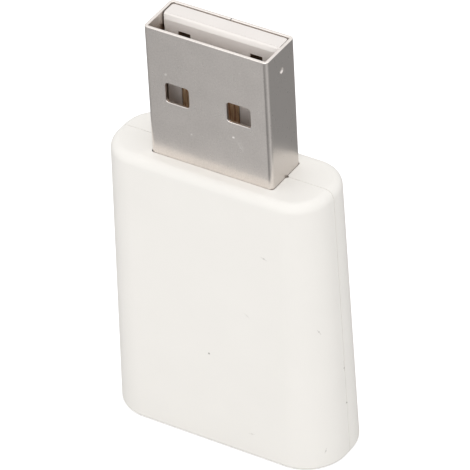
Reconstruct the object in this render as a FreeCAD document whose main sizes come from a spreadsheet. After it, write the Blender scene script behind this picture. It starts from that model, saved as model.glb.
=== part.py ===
import FreeCAD, Part
import math
import os
import Sketcher
from FreeCAD import Placement, Rotation, Vector
from types import SimpleNamespace

# A signal repeater stick that stands on the end of its housing, with its USB plug upwards.
# +X runs along the wide side, +Y to the back, +Z up through the plug.
# The origin is the middle of the housing's flat lower end.

DIMENSIONS = {
    # Housing: two moulded shells that meet on the plane through the middle of the plug
    "housing_height": 27.7,
    "base_width": 22.25,
    "base_thickness": 8.9,
    "end_flat": 1.1,
    "draft_angle": 1.21,
    "top_edge_radius": 0.9,
    "base_edge_radius": 0.3,
    "side_wall": 1.2,
    "end_wall": 1.5,
    "seam_chamfer": 0.08,
    "lip_thickness": 0.48,
    "lip_height": 0.6,
    "lip_clearance": 0.07,
    "plug_clearance": 0.03,
    "opening_corner": 0.2,
    "seam_notch_diameter": 0.45,
    "rib_bite": 0.3,
    # Pins and sockets that join the shells
    "boss_diameter": 2.6,
    "boss_side_gap": 0.2,
    "boss_end_gap": 0.85,
    "pin_diameter": 1.4,
    "pin_length": 1.9,
    "pin_clearance": 0.05,
    "pin_chamfer": 0.2,
    # Saddles that hold the plug and ledges that stop it
    "saddle_width": 9.0,
    "saddle_height": 0.8,
    "saddle_offset": 1.5,
    "ledge_width": 6.0,
    "ledge_height": 0.8,
    "ledge_clearance": 0.05,
    "ledge_overlap": 0.35,
    # Folded steel shell of the plug
    "plug_width": 12.0,
    "plug_thickness": 4.5,
    "plug_length": 18.75,
    "plug_reach": 12.8,
    "plug_sheet": 0.3,
    "plug_bend": 0.42,
    "window_width": 2.3,
    "window_height": 1.95,
    "window_corner": 0.28,
    "window_spacing": 6.0,
    "window_depth": 5.15,
    "fold_gap": 0.08,
    "dovetail_neck": 1.0,
    "dovetail_head": 1.6,
    "dovetail_reach": 1.2,
    "dovetail_depth": 9.2,
    "dimple_radius": 0.35,
    "dimple_sink": 0.15,
    "dimple_depth": 2.0,
    "leg_width": 1.6,
    "leg_length": 3.0,
    "leg_chamfer": 0.35,
    # Insulator: a block with a tongue that carries the contacts
    "cavity_depth": 11.0,
    "tongue_side_gap": 0.1,
    "tongue_back_gap": 0.1,
    "tongue_thickness": 1.74,
    "tongue_recess": 0.1,
    "tongue_corner": 0.25,
    "tongue_edge": 0.45,
    "insulator_clearance": 0.02,
    "insulator_recess": 0.3,
    "channel_side_gap": 0.1,
    "channel_floor_gap": 0.02,
    "outer_channel_depth": 1.35,
    "inner_channel_setback": 1.0,
    "tip_pocket_length": 1.7,
    "tip_pocket_depth": 1.0,
    # Contacts
    "contact_width": 1.0,
    "contact_thickness": 0.25,
    "contact_rise": 0.03,
    "outer_contact_offset": 3.5,
    "inner_contact_offset": 1.0,
    "contact_tip_gap": 0.9,
    "contact_tip_drop": 0.45,
    "contact_tip_length": 0.55,
    "contact_tip_bend": 0.45,
    "contact_tail": 2.2,
    # Main board and its seats
    "board_thickness": 1.0,
    "board_side_gap": 0.45,
    "board_end_gap": 0.4,
    "board_plug_gap": 0.1,
    "board_notch_gap": 0.3,
    "leg_slot_gap": 0.05,
    "post_width": 1.9,
    "clamp_width": 1.7,
    "post_edge_gap": 0.15,
    "post_slot_gap": 0.3,
    "peg_diameter": 1.0,
    "peg_clearance": 0.05,
    "peg_shortfall": 0.1,
    # Radio module
    "module_width": 11.0,
    "module_top_gap": 2.9,
    "module_thickness": 0.8,
    "module_margin": 0.6,
    "castellation_diameter": 0.6,
    "castellation_spacing": 1.8,
    "castellation_count": 6,
    "can_width": 9.6,
    "can_antenna_gap": 1.6,
    "can_rise": 1.5,
    "can_sheet": 0.2,
    "can_corner": 0.5,
    "can_margin": 0.6,
    "can_inner_gap": 0.25,
    "radio_chip_side": 4.0,
    "radio_chip_rise": 0.85,
    "memory_chip_width": 3.0,
    "memory_chip_height": 2.0,
    "memory_chip_rise": 0.6,
    "chip_mark_size": 0.4,
    "crystal_width": 2.5,
    "crystal_height": 2.0,
    "crystal_base_rise": 0.5,
    "crystal_lid_margin": 0.2,
    "crystal_lid_rise": 0.2,
    "antenna_length": 5.2,
    "antenna_width": 2.0,
    "antenna_rise": 1.1,
    "antenna_terminal": 0.5,
    "antenna_edge_gap": 1.0,
    # Small chips with an end cap at each end
    "cap_step": 0.03,
    "tiny_length": 1.0,
    "tiny_width": 0.5,
    "tiny_rise": 0.35,
    "tiny_terminal": 0.25,
    "tiny_spacing": 1.3,
    "matching_count": 4,
    "resistor_count": 4,
    "capacitor_count": 5,
    "small_length": 1.6,
    "small_width": 0.8,
    "small_rise": 0.45,
    "small_terminal": 0.3,
    "medium_length": 2.0,
    "medium_width": 1.25,
    "capacitor_rise": 1.2,
    "bead_rise": 0.9,
    "medium_terminal": 0.4,
    "fuse_length": 3.2,
    "fuse_width": 1.6,
    "fuse_rise": 0.7,
    "fuse_terminal": 0.5,
    "column_gap": 0.6,
    # Packages with bent leads
    "package_length": 2.0,
    "package_width": 1.25,
    "package_rise": 0.95,
    "package_standoff": 0.1,
    "package_draft": 5.0,
    "lead_width": 0.3,
    "lead_thickness": 0.15,
    "lead_reach": 0.43,
    "lead_foot": 0.25,
    "lead_spacing": 0.65,
    "lead_entry": 0.5,
    "lead_bite": 0.16,
    # Status lamp and its light guide
    "lamp_height": 18.0,
    "lamp_base_rise": 0.25,
    "lamp_lens_length": 1.0,
    "lamp_lens_rise": 0.35,
    "guide_diameter": 2.0,
    "guide_clearance": 0.03,
    "guide_recess": 0.05,
    "guide_flange_diameter": 2.9,
    "guide_flange_rise": 0.45,
    "guide_lamp_gap": 0.12,
    # Reset switch behind its pinhole
    "reset_height": 10.5,
    "pinhole_diameter": 1.2,
    "pinhole_chamfer": 0.2,
    "switch_side": 3.0,
    "switch_floor": 0.3,
    "switch_recess_diameter": 2.4,
    "switch_foot_width": 0.5,
    "switch_foot_reach": 0.35,
    "switch_foot_rise": 0.15,
    "switch_foot_spacing": 1.9,
    "frame_sheet": 0.15,
    "frame_clearance": 0.02,
    "frame_top_gap": 0.05,
    "frame_leg_drop": 0.6,
    "plunger_diameter": 1.6,
    "plunger_clearance": 0.05,
    "plunger_flange_diameter": 2.2,
    "plunger_flange_rise": 0.2,
    "plunger_proud": 0.35,
    "plunger_wall_gap": 0.08,
}

# Room that a cutting shape has past the faces that it passes through
PAST = 1.0
# Closest distance at which two places count as the same
SAME = 1e-4


class Size:
    """A length that carries both its number and its formula in the sheet's names."""

    def __init__(self, formula, number):
        self.formula = formula
        self.number = float(number)

    @staticmethod
    def of(value):
        """Gives a plain number the form of a size."""
        return value if isinstance(value, Size) else Size(f"({float(value)})", value)

    def __add__(self, other):
        other = Size.of(other)
        return Size(f"({self.formula} + {other.formula})", self.number + other.number)

    def __sub__(self, other):
        other = Size.of(other)
        return Size(f"({self.formula} - {other.formula})", self.number - other.number)

    def __mul__(self, other):
        other = Size.of(other)
        return Size(f"({self.formula} * {other.formula})", self.number * other.number)

    def __truediv__(self, other):
        other = Size.of(other)
        return Size(f"({self.formula} / {other.formula})", self.number / other.number)

    def __neg__(self):
        return Size(f"(0 - {self.formula})", -self.number)

    def tangent(self):
        """The tangent of a size in degrees."""
        return Size(f"tan({self.formula})", math.tan(math.radians(self.number)))

    def __radd__(self, other):
        return Size.of(other) + self

    def __rsub__(self, other):
        return Size.of(other) - self


# The sheet of driving dimensions
doc = FreeCAD.newDocument("signal_repeater")
sheet = doc.addObject("Spreadsheet::Sheet", "Sizes")
for row, (alias, number) in enumerate(DIMENSIONS.items(), 1):
    sheet.set(f"A{row}", alias.replace("_", " "))
    sheet.set(f"B{row}", str(number))
    sheet.setAlias(f"B{row}", alias)
doc.recompute()
dim = SimpleNamespace(**{alias: Size(f"Sizes.{alias}", number) for alias, number in DIMENSIONS.items()})


# Sketches, whose points are held by the sheet's values
def hold(sketch, item, spot, across, up):
    """Holds a point of a sketch at its distances from the sketch's origin."""
    for kind, place in (("DistanceX", across), ("DistanceY", up)):
        if place is None:
            continue
        place = Size.of(place)
        number = sketch.addConstraint(Sketcher.Constraint(kind, item, spot, place.number))
        sketch.renameConstraint(number, f"place{number}")
        sketch.setExpression(f"Constraints.place{number}", place.formula)


def polygon(*corners):
    """Closed outline of straight lines through its corners."""
    def draw(sketch):
        first = sketch.GeometryCount
        points = [Vector(Size.of(x).number, Size.of(y).number, 0) for x, y in corners]
        count = len(points)
        for n in range(count):
            sketch.addGeometry(Part.LineSegment(points[n], points[(n + 1) % count]), False)
        for n in range(count):
            join = Sketcher.Constraint("Coincident", first + n, 2, first + (n + 1) % count, 1)
            sketch.addConstraint(join)
            hold(sketch, first + n, 1, *corners[n])
    return draw


def rectangle(left, right, low, high):
    """Rectangle between its four sides."""
    return polygon((left, low), (right, low), (right, high), (left, high))


def circle(across, up, diameter):
    """Circle about a centre."""
    def draw(sketch):
        centre = Vector(Size.of(across).number, Size.of(up).number, 0)
        item = sketch.addGeometry(Part.Circle(centre, Vector(0, 0, 1), diameter.number / 2), False)
        hold(sketch, item, 3, across, up)
        number = sketch.addConstraint(Sketcher.Constraint("Diameter", item, diameter.number))
        sketch.renameConstraint(number, f"across{number}")
        sketch.setExpression(f"Constraints.across{number}", diameter.formula)
    return draw


def rounded_rectangle(left, right, low, high, radius, rounded=(True, True, True, True)):
    """Rectangle with quarter circles at the picked corners, counter-clockwise from the low left one."""
    left, right, low, high = (Size.of(side) for side in (left, right, low, high))
    corners = [(left, low), (right, low), (right, high), (left, high)]
    ways = [(1, 0), (0, 1), (-1, 0), (0, -1)]
    quarter = math.pi / 2
    starts, ends, centres = [], [], []
    for n, (x, y) in enumerate(corners):
        trim = radius if rounded[n] else Size.of(0)
        way_in, way_out = ways[n - 1], ways[n]
        ends.append((x - trim * way_in[0], y - trim * way_in[1]))
        starts.append((x + trim * way_out[0], y + trim * way_out[1]))
        centres.append((ends[n][0] + trim * way_out[0], ends[n][1] + trim * way_out[1]))

    def draw(sketch):
        first = sketch.GeometryCount
        for n in range(4):
            points = [Vector(x.number, y.number, 0) for x, y in (starts[n], ends[(n + 1) % 4])]
            sketch.addGeometry(Part.LineSegment(*points), False)
            hold(sketch, first + n, 1, *starts[n])
            if rounded[(n + 1) % 4]:
                hold(sketch, first + n, 2, *ends[(n + 1) % 4])
        for n in range(4):
            before = first + (n + 3) % 4
            if not rounded[n]:
                sketch.addConstraint(Sketcher.Constraint("Coincident", before, 2, first + n, 1))
                continue
            x, y = centres[n]
            ring = Part.Circle(Vector(x.number, y.number, 0), Vector(0, 0, 1), radius.number)
            arc = sketch.addGeometry(Part.ArcOfCircle(ring, (n + 2) * quarter, (n + 3) * quarter), False)
            sketch.addConstraint(Sketcher.Constraint("Coincident", before, 2, arc, 1))
            sketch.addConstraint(Sketcher.Constraint("Coincident", arc, 2, first + n, 1))
            hold(sketch, arc, 3, x, None)
    return draw


def pair(outline_at, place):
    """The same outline at a place and at its mirror place on the other side of the middle."""
    return [outline_at(-place), outline_at(place)]


# Bodies and their features
def new_body(name):
    """An empty body whose label is the piece's name."""
    body = doc.addObject("PartDesign::Body", name)
    body.Label = name
    return body


def origin_item(body, role):
    """One of the body's own planes or axes."""
    return next(item for item in body.Origin.OriginFeatures if item.Role == role)


def new_sketch(body, name, plane, outlines, place=0):
    """A sketch parallel to one of the body's planes, at a place along that plane's axis."""
    sketch = body.newObject("Sketcher::SketchObject", name)
    sketch.AttachmentSupport = [(origin_item(body, plane), "")]
    sketch.MapMode = "FlatFace"
    place = Size.of(place)
    # The XZ plane faces -Y, so a place along +Y is a negative offset there
    along = -place if plane == "XZ_Plane" else place
    sketch.AttachmentOffset = Placement(Vector(0, 0, along.number), Rotation())
    sketch.setExpression("AttachmentOffset.Base.z", along.formula)
    for outline in outlines:
        outline(sketch)
    return sketch


def volume_of(body):
    """The body's volume so far."""
    doc.recompute()
    return body.Shape.Volume


def prism(body, name, plane, outlines, low, high, cut=False, draft=None):
    """Adds or cuts an outline's prism between two places along its plane's axis, drawn in by a draft."""
    low, high = Size.of(low), Size.of(high)
    start = high if plane == "XZ_Plane" else low
    before = volume_of(body) if cut else 0.0
    sketch = new_sketch(body, name + "_outline", plane, outlines, start)
    feature = body.newObject("PartDesign::Pocket" if cut else "PartDesign::Pad", name)
    feature.Profile = sketch
    feature.Reversed = cut
    feature.Length = high.number - low.number
    feature.setExpression("Length", (high - low).formula)
    if draft:
        feature.TaperAngle = -draft.number
        feature.setExpression("TaperAngle", (-draft).formula)
    if cut and volume_of(body) >= before:
        raise RuntimeError(f"{name} cuts nothing from {body.Label}")
    return feature


def soften(body, name, size, chosen, kind="Fillet"):
    """Rounds or chamfers the edges that a test picks."""
    doc.recompute()
    base = body.Tip
    edges = [f"Edge{n}" for n, edge in enumerate(base.Shape.Edges, 1) if chosen(edge)]
    if not edges:
        raise RuntimeError(f"{name} finds no edge on {body.Label}")
    feature = body.newObject(f"PartDesign::{kind}", name)
    feature.Base = (base, edges)
    measure = "Radius" if kind == "Fillet" else "Size"
    setattr(feature, measure, size.number)
    feature.setExpression(measure, size.formula)
    return feature


def mirror(body, name, feature, plane):
    """Repeats a feature on the other side of one of the body's planes."""
    copy = body.newObject("PartDesign::Mirrored", name)
    copy.Originals = [feature]
    copy.MirrorPlane = (origin_item(body, plane), [""])
    body.Tip = copy
    return copy


def repeat(body, name, feature, axis, pitch, count):
    """Repeats a feature in a row at a pitch."""
    row = body.newObject("PartDesign::LinearPattern", name)
    row.Originals = [feature]
    row.Direction = (origin_item(body, axis), [""])
    row.Mode = "Spacing"
    row.Offset = pitch.number
    row.setExpression("Offset", pitch.formula)
    row.Occurrences = int(count.number)
    row.setExpression("Occurrences", count.formula)
    body.Tip = row
    return row


def put(body, across, back, up, turn=Rotation()):
    """Places a body in the part, turned as given."""
    place = [Size.of(value) for value in (across, back, up)]
    body.Placement = Placement(Vector(*[value.number for value in place]), turn)
    for axis, value in zip("xyz", place):
        body.setExpression(f"Placement.Base.{axis}", value.formula)
    return body


# Tests that pick edges
def level_with(height):
    """Edges that lie in the level plane at a height."""
    return lambda edge: max(abs(edge.BoundBox.ZMin - height), abs(edge.BoundBox.ZMax - height)) < SAME


def in_parting_plane(edge):
    """Edges that lie in the plane between the two shells."""
    return max(abs(edge.BoundBox.YMin), abs(edge.BoundBox.YMax)) < SAME


def pin_end(edge):
    """The round edges at the ends of the front shell's pins."""
    return abs(edge.BoundBox.YMin - dim.pin_length.number) < SAME


def pinhole_mouth(edge):
    """The pinhole's round edge in the rear shell's outer face."""
    box = edge.BoundBox
    across = dim.pinhole_diameter.number
    whole_ring = edge.Length > across and box.XLength < across + dim.pinhole_chamfer.number
    on_axis = abs(box.Center.x) < SAME and abs(box.Center.z - dim.reset_height.number) < across
    mid_wall = (outer_half_depth(dim.reset_height) + inner_half_depth(dim.reset_height)).number / 2
    return whole_ring and on_axis and box.YMin > mid_wall


def at_bend(edge, height):
    """A contact's outer edge where its tip turns, at a height."""
    box = edge.BoundBox
    spots = (box.YMin, contact_front), (box.YMax, contact_front), (box.ZMin, height), (box.ZMax, height)
    return all(abs(found - wanted.number) < SAME for found, wanted in spots)


# Lengths that several pieces share
def draft_at(height):
    """How far the housing's drafted sides have drawn in at a height."""
    return dim.draft_angle.tangent() * height


def outer_half_width(height):
    """Half the housing's outer width at a height."""
    return dim.base_width / 2 - draft_at(height)


def outer_half_depth(height):
    """Half the housing's outer thickness at a height."""
    return dim.base_thickness / 2 - draft_at(height)


def inner_half_width(height):
    """Half the cavity's width at a height."""
    return outer_half_width(height) - dim.side_wall


def inner_half_depth(height):
    """Half the cavity's thickness at a height."""
    return outer_half_depth(height) - dim.side_wall


def level_outline(height, inset):
    """The housing's rounded outline at a height, moved inwards by an inset."""
    half_width = outer_half_width(height) - inset
    half_depth = outer_half_depth(height) - inset
    corner = half_depth - dim.end_flat / 2
    return rounded_rectangle(-half_width, half_width, -half_depth, half_depth, corner)


def parting_outline(margin):
    """The cavity's outline in the parting plane, grown outwards by a margin."""
    low = dim.end_wall - margin
    high = dim.housing_height - dim.end_wall + margin
    low_half = inner_half_width(low) + margin
    high_half = inner_half_width(high) + margin
    return polygon((-low_half, low), (low_half, low), (high_half, high), (-high_half, high))


plug_tip = dim.housing_height + dim.plug_reach
plug_base = plug_tip - dim.plug_length
plug_half_width = dim.plug_width / 2
plug_half_depth = dim.plug_thickness / 2

tongue_back = plug_half_depth - dim.plug_sheet - dim.tongue_back_gap
tongue_face = tongue_back - dim.tongue_thickness
tongue_top = plug_tip - dim.tongue_recess
contact_front = tongue_face - dim.contact_rise
contact_back = contact_front + dim.contact_thickness
outer_channel_top = plug_tip - dim.outer_channel_depth
inner_channel_top = outer_channel_top - dim.inner_channel_setback

board_front = contact_back
board_back = board_front + dim.board_thickness
board_top = plug_base - dim.board_plug_gap
board_foot = dim.end_wall + dim.board_end_gap
board_half_width = inner_half_width(board_top) - dim.board_side_gap
leg_slot_foot = plug_base - dim.leg_length - dim.leg_slot_gap

boss_low = dim.end_wall + dim.boss_end_gap + dim.boss_diameter / 2
boss_high = dim.housing_height - dim.end_wall - dim.boss_end_gap - dim.boss_diameter / 2
notch_top = boss_low + dim.boss_diameter / 2 + dim.board_notch_gap


def boss_across(height):
    """How far a boss stands from the middle, beside the wall at its height."""
    return inner_half_width(height) - dim.boss_side_gap - dim.boss_diameter / 2


# How deep the light guide's flange sits in the rear wall
guide_shoulder = inner_half_depth(dim.lamp_height) + dim.guide_flange_rise

post_across = board_half_width - dim.post_edge_gap - dim.post_width / 2
post_high = leg_slot_foot - dim.post_slot_gap - dim.post_width / 2
post_low = notch_top + dim.post_edge_gap + dim.post_width / 2


# Housing shells
def half_housing(name, side):
    """A hollow half of the tapered housing, on the -Y side (-1) or the +Y side (+1)."""
    body = new_body(name)
    top = dim.housing_height
    draft = dim.draft_angle
    prism(body, name + "_form", "XY_Plane", [level_outline(0, 0)], 0, top, draft=draft)
    soften(body, name + "_top_round", dim.top_edge_radius, level_with(top.number))
    soften(body, name + "_base_round", dim.base_edge_radius, level_with(0))
    reach = dim.base_width + PAST
    deep = dim.base_thickness + PAST
    away = (0, deep) if side < 0 else (-deep, 0)
    prism(body, name + "_half", "XZ_Plane", [rectangle(-reach, reach, -PAST, top + PAST)], *away, cut=True)
    soften(body, name + "_seam_chamfer", dim.seam_chamfer, in_parting_plane, "Chamfer")
    low, high = dim.end_wall, top - dim.end_wall
    hollow = level_outline(low, dim.side_wall)
    prism(body, name + "_hollow", "XY_Plane", [hollow], low, high, cut=True, draft=draft)
    return body


def cut_plug_opening(body):
    """The opening in the top wall that the plug stands in, with a small notch at the seam."""
    half_width = plug_half_width + dim.plug_clearance
    half_depth = plug_half_depth + dim.plug_clearance
    opening = rounded_rectangle(-half_width, half_width, -half_depth, half_depth, dim.opening_corner)
    low, high = dim.housing_height - dim.end_wall - PAST, dim.housing_height + PAST
    prism(body, body.Label + "_plug_opening", "XY_Plane", [opening], low, high, cut=True)
    notches = pair(lambda x: circle(x, 0, dim.seam_notch_diameter), half_width)
    prism(body, body.Label + "_seam_notches", "XY_Plane", notches, low, high, cut=True)


def add_plug_seats(body, side):
    """A saddle that bears on the plug's wide face, and a ledge that its end stops against."""
    low = plug_base + dim.saddle_offset
    high = low + dim.saddle_height
    wall = inner_half_depth(high) + dim.rib_bite
    seats = [("saddle", dim.saddle_width, low, high, plug_half_depth + dim.plug_clearance, wall)]
    high = plug_base - dim.ledge_clearance
    low = high - dim.ledge_height
    wall = inner_half_depth(high) + dim.rib_bite
    seats.append(("ledge", dim.ledge_width, low, high, plug_half_depth - dim.ledge_overlap, wall))
    for seat, width, low, high, near, far in seats:
        outline = rectangle(-width / 2, width / 2, low, high)
        span = (-far, -near) if side < 0 else (near, far)
        prism(body, f"{body.Label}_{seat}", "XZ_Plane", [outline], *span)


# The shells are pinned at two places across a diagonal: low on the -X side and high on the +X side
boss_places = (("low", -boss_across(boss_low), boss_low), ("high", boss_across(boss_high), boss_high))


def post_outlines(height, width):
    """Two squares at the board posts' places at one height."""
    half = width / 2
    return pair(lambda x: rectangle(x - half, x + half, height - half, height + half), post_across)


def peg_outlines(diameter):
    """Two circles in the middle of the high board posts."""
    return pair(lambda x: circle(x, post_high, diameter), post_across)


def front_shell():
    """The front half, with its pins, board clamps and plug seats."""
    body = half_housing("front_shell", -1)
    room = dim.lip_thickness + dim.lip_clearance
    depth = dim.lip_height + dim.lip_clearance
    prism(body, "lip_rebate", "XZ_Plane", [parting_outline(room)], -depth, PAST, cut=True)
    for label, across, height in boss_places:
        wall = inner_half_depth(height) + dim.rib_bite
        boss, pin = circle(across, height, dim.boss_diameter), circle(across, height, dim.pin_diameter)
        prism(body, f"{label}_pin_boss", "XZ_Plane", [boss], -wall, 0)
        prism(body, f"{label}_pin", "XZ_Plane", [pin], 0, dim.pin_length)
    soften(body, "pin_chamfers", dim.pin_chamfer, pin_end, "Chamfer")
    for label, height in (("low", post_low), ("high", post_high)):
        wall = inner_half_depth(height) + dim.rib_bite
        outlines = post_outlines(height, dim.clamp_width)
        prism(body, f"{label}_board_clamps", "XZ_Plane", outlines, -wall, board_front)
    add_plug_seats(body, -1)
    cut_plug_opening(body)
    return body


def rear_shell():
    """The rear half, with its locating lip, sockets, board posts, pinhole and light guide hole."""
    body = half_housing("rear_shell", 1)
    ring = [parting_outline(0), parting_outline(dim.lip_thickness)]
    prism(body, "locating_lip", "XZ_Plane", ring, -dim.lip_height, 0)
    bore = dim.pin_diameter + dim.pin_clearance * 2
    depth = dim.pin_length + dim.pin_clearance * 2
    for label, across, height in boss_places:
        wall = inner_half_depth(height) + dim.rib_bite
        boss, socket = circle(across, height, dim.boss_diameter), circle(across, height, bore)
        prism(body, f"{label}_socket_boss", "XZ_Plane", [boss], 0, wall)
        prism(body, f"{label}_socket", "XZ_Plane", [socket], -PAST, depth, cut=True)
    for label, height in (("low", post_low), ("high", post_high)):
        wall = inner_half_depth(height) + dim.rib_bite
        prism(body, f"{label}_posts", "XZ_Plane", post_outlines(height, dim.post_width), board_back, wall)
    pegs = peg_outlines(dim.peg_diameter)
    prism(body, "board_pegs", "XZ_Plane", pegs, board_front + dim.peg_shortfall, board_back)
    add_plug_seats(body, 1)
    cut_plug_opening(body)
    height = dim.lamp_height
    guide_bore = dim.guide_diameter + dim.guide_clearance * 2
    seat_bore = dim.guide_flange_diameter + dim.guide_clearance * 2
    wall = outer_half_depth(height)
    hole, seat = [circle(0, height, guide_bore)], [circle(0, height, seat_bore)]
    prism(body, "guide_hole", "XZ_Plane", hole, board_back, wall + PAST, cut=True)
    prism(body, "guide_seat", "XZ_Plane", seat, board_back, guide_shoulder, cut=True)
    height = dim.reset_height
    wall = outer_half_depth(height)
    hole = [circle(0, height, dim.pinhole_diameter)]
    prism(body, "pinhole", "XZ_Plane", hole, board_back, wall + PAST, cut=True)
    soften(body, "pinhole_chamfer", dim.pinhole_chamfer, pinhole_mouth, "Chamfer")
    return body


# Plug
def usb_shell():
    """The folded steel shell, with its windows, locked seam, stamped dimple and two solder legs."""
    body = new_body("usb_shell")
    half_width, half_depth = plug_half_width, plug_half_depth
    outline = rounded_rectangle(-half_width, half_width, -half_depth, half_depth, dim.plug_bend)
    prism(body, "sleeve", "XY_Plane", [outline], plug_base, plug_tip)
    half_width = plug_half_width - dim.plug_sheet
    half_depth = plug_half_depth - dim.plug_sheet
    bend = dim.plug_bend - dim.plug_sheet
    bore = rounded_rectangle(-half_width, half_width, -half_depth, half_depth, bend)
    prism(body, "bore", "XY_Plane", [bore], plug_base - PAST, plug_tip + PAST, cut=True)
    high = plug_tip - dim.window_depth
    low = high - dim.window_height
    half = dim.window_width / 2
    windows = pair(
        lambda x: rounded_rectangle(x - half, x + half, low, high, dim.window_corner),
        dim.window_spacing / 2,
    )
    past = plug_half_depth + PAST
    prism(body, "windows", "XZ_Plane", windows, -past, past, cut=True)
    prism(body, "fold_seam", "XZ_Plane", [fold_outline()], 0, past, cut=True)
    dimple = body.newObject("PartDesign::SubtractiveSphere", "dimple")
    dimple.Radius = dim.dimple_radius.number
    dimple.setExpression("Radius", dim.dimple_radius.formula)
    dimple.AttachmentSupport = [(origin_item(body, "XY_Plane"), "")]
    dimple.MapMode = "FlatFace"
    centre = plug_half_width + dim.dimple_radius - dim.dimple_sink
    dimple.setExpression("AttachmentOffset.Base.x", centre.formula)
    dimple.setExpression("AttachmentOffset.Base.z", (plug_tip - dim.dimple_depth).formula)
    middle = (board_front + board_back) / 2
    front, back = middle - dim.leg_width / 2, middle + dim.leg_width / 2
    low = plug_base - dim.leg_length
    slope = dim.leg_chamfer
    outline = polygon(
        (front, plug_base), (front, low + slope), (front + slope, low),
        (back - slope, low), (back, low + slope), (back, plug_base),
    )
    leg = prism(body, "solder_leg", "YZ_Plane", [outline], plug_half_width - dim.plug_sheet, plug_half_width)
    mirror(body, "other_solder_leg", leg, "YZ_Plane")
    return body


def fold_outline():
    """The narrow gap where the sheet's two edges meet, with a dovetail that locks them."""
    left = -dim.fold_gap / 2
    right = dim.fold_gap / 2
    gap = dim.fold_gap
    reach = dim.dovetail_reach
    high, low = plug_tip + PAST, plug_base - PAST
    middle = plug_tip - dim.dovetail_depth
    neck, head = dim.dovetail_neck / 2, dim.dovetail_head / 2
    return polygon(
        (left, high), (left, middle + neck), (left + reach, middle + head),
        (left + reach, middle - head), (left, middle - neck), (left, low),
        (right, low), (right, middle - neck - gap), (right + reach, middle - head - gap),
        (right + reach, middle + head + gap), (right, middle + neck + gap), (right, high),
    )


def usb_insulator():
    """The block that closes the steel shell, with the tongue that carries the contacts."""
    body = new_body("usb_insulator")
    gap = dim.insulator_clearance
    half_width = plug_half_width - dim.plug_sheet - gap
    half_depth = plug_half_depth - dim.plug_sheet - gap
    corner = dim.plug_bend - dim.plug_sheet
    block = rounded_rectangle(-half_width, half_width, -half_depth, half_depth, corner)
    block_top = plug_tip - dim.cavity_depth
    prism(body, "block", "XY_Plane", [block], plug_base + dim.insulator_recess, block_top)
    half_tongue = plug_half_width - dim.plug_sheet - dim.tongue_side_gap
    front_top = (False, False, False, True)
    section = rounded_rectangle(
        tongue_face, tongue_back, block_top, tongue_top, dim.tongue_edge, front_top)
    prism(body, "tongue", "YZ_Plane", [section], -half_tongue, half_tongue)
    around = rectangle(-half_tongue - PAST, half_tongue + PAST, tongue_face - PAST, tongue_back + PAST)
    kept = rounded_rectangle(-half_tongue, half_tongue, tongue_face, tongue_back, dim.tongue_corner)
    prism(body, "tongue_corners", "XY_Plane", [around, kept], block_top, tongue_top + PAST, cut=True)
    across = dim.contact_width / 2 + dim.channel_side_gap
    floor = contact_back + dim.channel_floor_gap
    ceiling = contact_front - dim.channel_floor_gap
    for label, offset, top in (
        ("outer", dim.outer_contact_offset, outer_channel_top),
        ("inner", dim.inner_contact_offset, inner_channel_top),
    ):
        pocket_low = top - dim.tip_pocket_length
        channels = pair(lambda x: rectangle(x - across, x + across, block_top, top), offset)
        pockets = pair(lambda x: rectangle(x - across, x + across, pocket_low, top), offset)
        passages = pair(lambda x: rectangle(x - across, x + across, ceiling, floor), offset)
        prism(body, label + "_channels", "XZ_Plane", channels, tongue_face - PAST, floor, cut=True)
        deep = tongue_face + dim.tip_pocket_depth
        prism(body, label + "_tip_pockets", "XZ_Plane", pockets, tongue_face - PAST, deep, cut=True)
        low = plug_base + dim.insulator_recess - PAST
        prism(body, label + "_passages", "XY_Plane", passages, low, block_top, cut=True)
    return body


def contact(name, offset, channel_top):
    """A flat spring strip: a tail on the board, a straight run on the tongue and a tip bent inwards."""
    body = new_body(name)
    bend = channel_top - dim.contact_tip_gap - dim.contact_tip_length
    end = channel_top - dim.contact_tip_gap
    drop = dim.contact_tip_drop
    slope = dim.contact_thickness / 2
    outline = polygon(
        (contact_front, plug_base - dim.contact_tail), (contact_back, plug_base - dim.contact_tail),
        (contact_back, bend - slope), (contact_back + drop, end - slope),
        (contact_front + drop + slope, end), (contact_front, bend),
    )
    half = dim.contact_width / 2
    prism(body, name + "_strip", "YZ_Plane", [outline], -half, half)
    soften(body, name + "_bend", dim.contact_tip_bend, lambda edge: at_bend(edge, bend))
    return put(body, offset, 0, 0)


# Boards
def main_board():
    """The board that stands behind the contacts, notched for the low boss and slotted for the legs."""
    body = new_body("main_board")
    edge = board_half_width
    notch = boss_across(boss_low) - dim.boss_diameter / 2 - dim.board_notch_gap
    slot_out = plug_half_width + dim.leg_slot_gap
    slot_in = plug_half_width - dim.plug_sheet - dim.leg_slot_gap
    slot = [
        (slot_in, board_top), (slot_in, leg_slot_foot), (slot_out, leg_slot_foot), (slot_out, board_top),
    ]
    right = [(edge, board_top), (edge, board_foot)]
    left = [(-notch, board_foot), (-notch, notch_top), (-edge, notch_top), (-edge, board_top)]
    other_slot = [(-across, up) for across, up in reversed(slot)]
    outline = polygon(*slot, *right, *left, *other_slot)
    prism(body, "board", "XZ_Plane", [outline], board_front, board_back)
    holes = peg_outlines(dim.peg_diameter + dim.peg_clearance * 2)
    prism(body, "peg_holes", "XZ_Plane", holes, board_front - PAST, board_back + PAST, cut=True)
    return body


# Pieces on the boards are drawn lying down, with Z away from the board, and then turned to stand on it
FRONT_TURN = Rotation(Vector(1, 0, 0), 90)
BACK_TURN = Rotation(Vector(1, 0, 0), -90)
QUARTER_SPIN = Rotation(Vector(0, 1, 0), 90)
module_face = board_front - dim.module_thickness
module_low = board_foot + dim.module_margin
module_top = plug_base - dim.contact_tail - dim.module_top_gap
module_middle = (module_low + module_top) / 2


def on_front(body, across, up, spin=Rotation()):
    """Stands a piece on the main board's front face, spun about its own middle."""
    return put(body, across, board_front, up, spin * FRONT_TURN)


def on_module(body, across, up):
    """Stands a piece on the radio module's face."""
    return put(body, across, module_face, up, FRONT_TURN)


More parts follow.
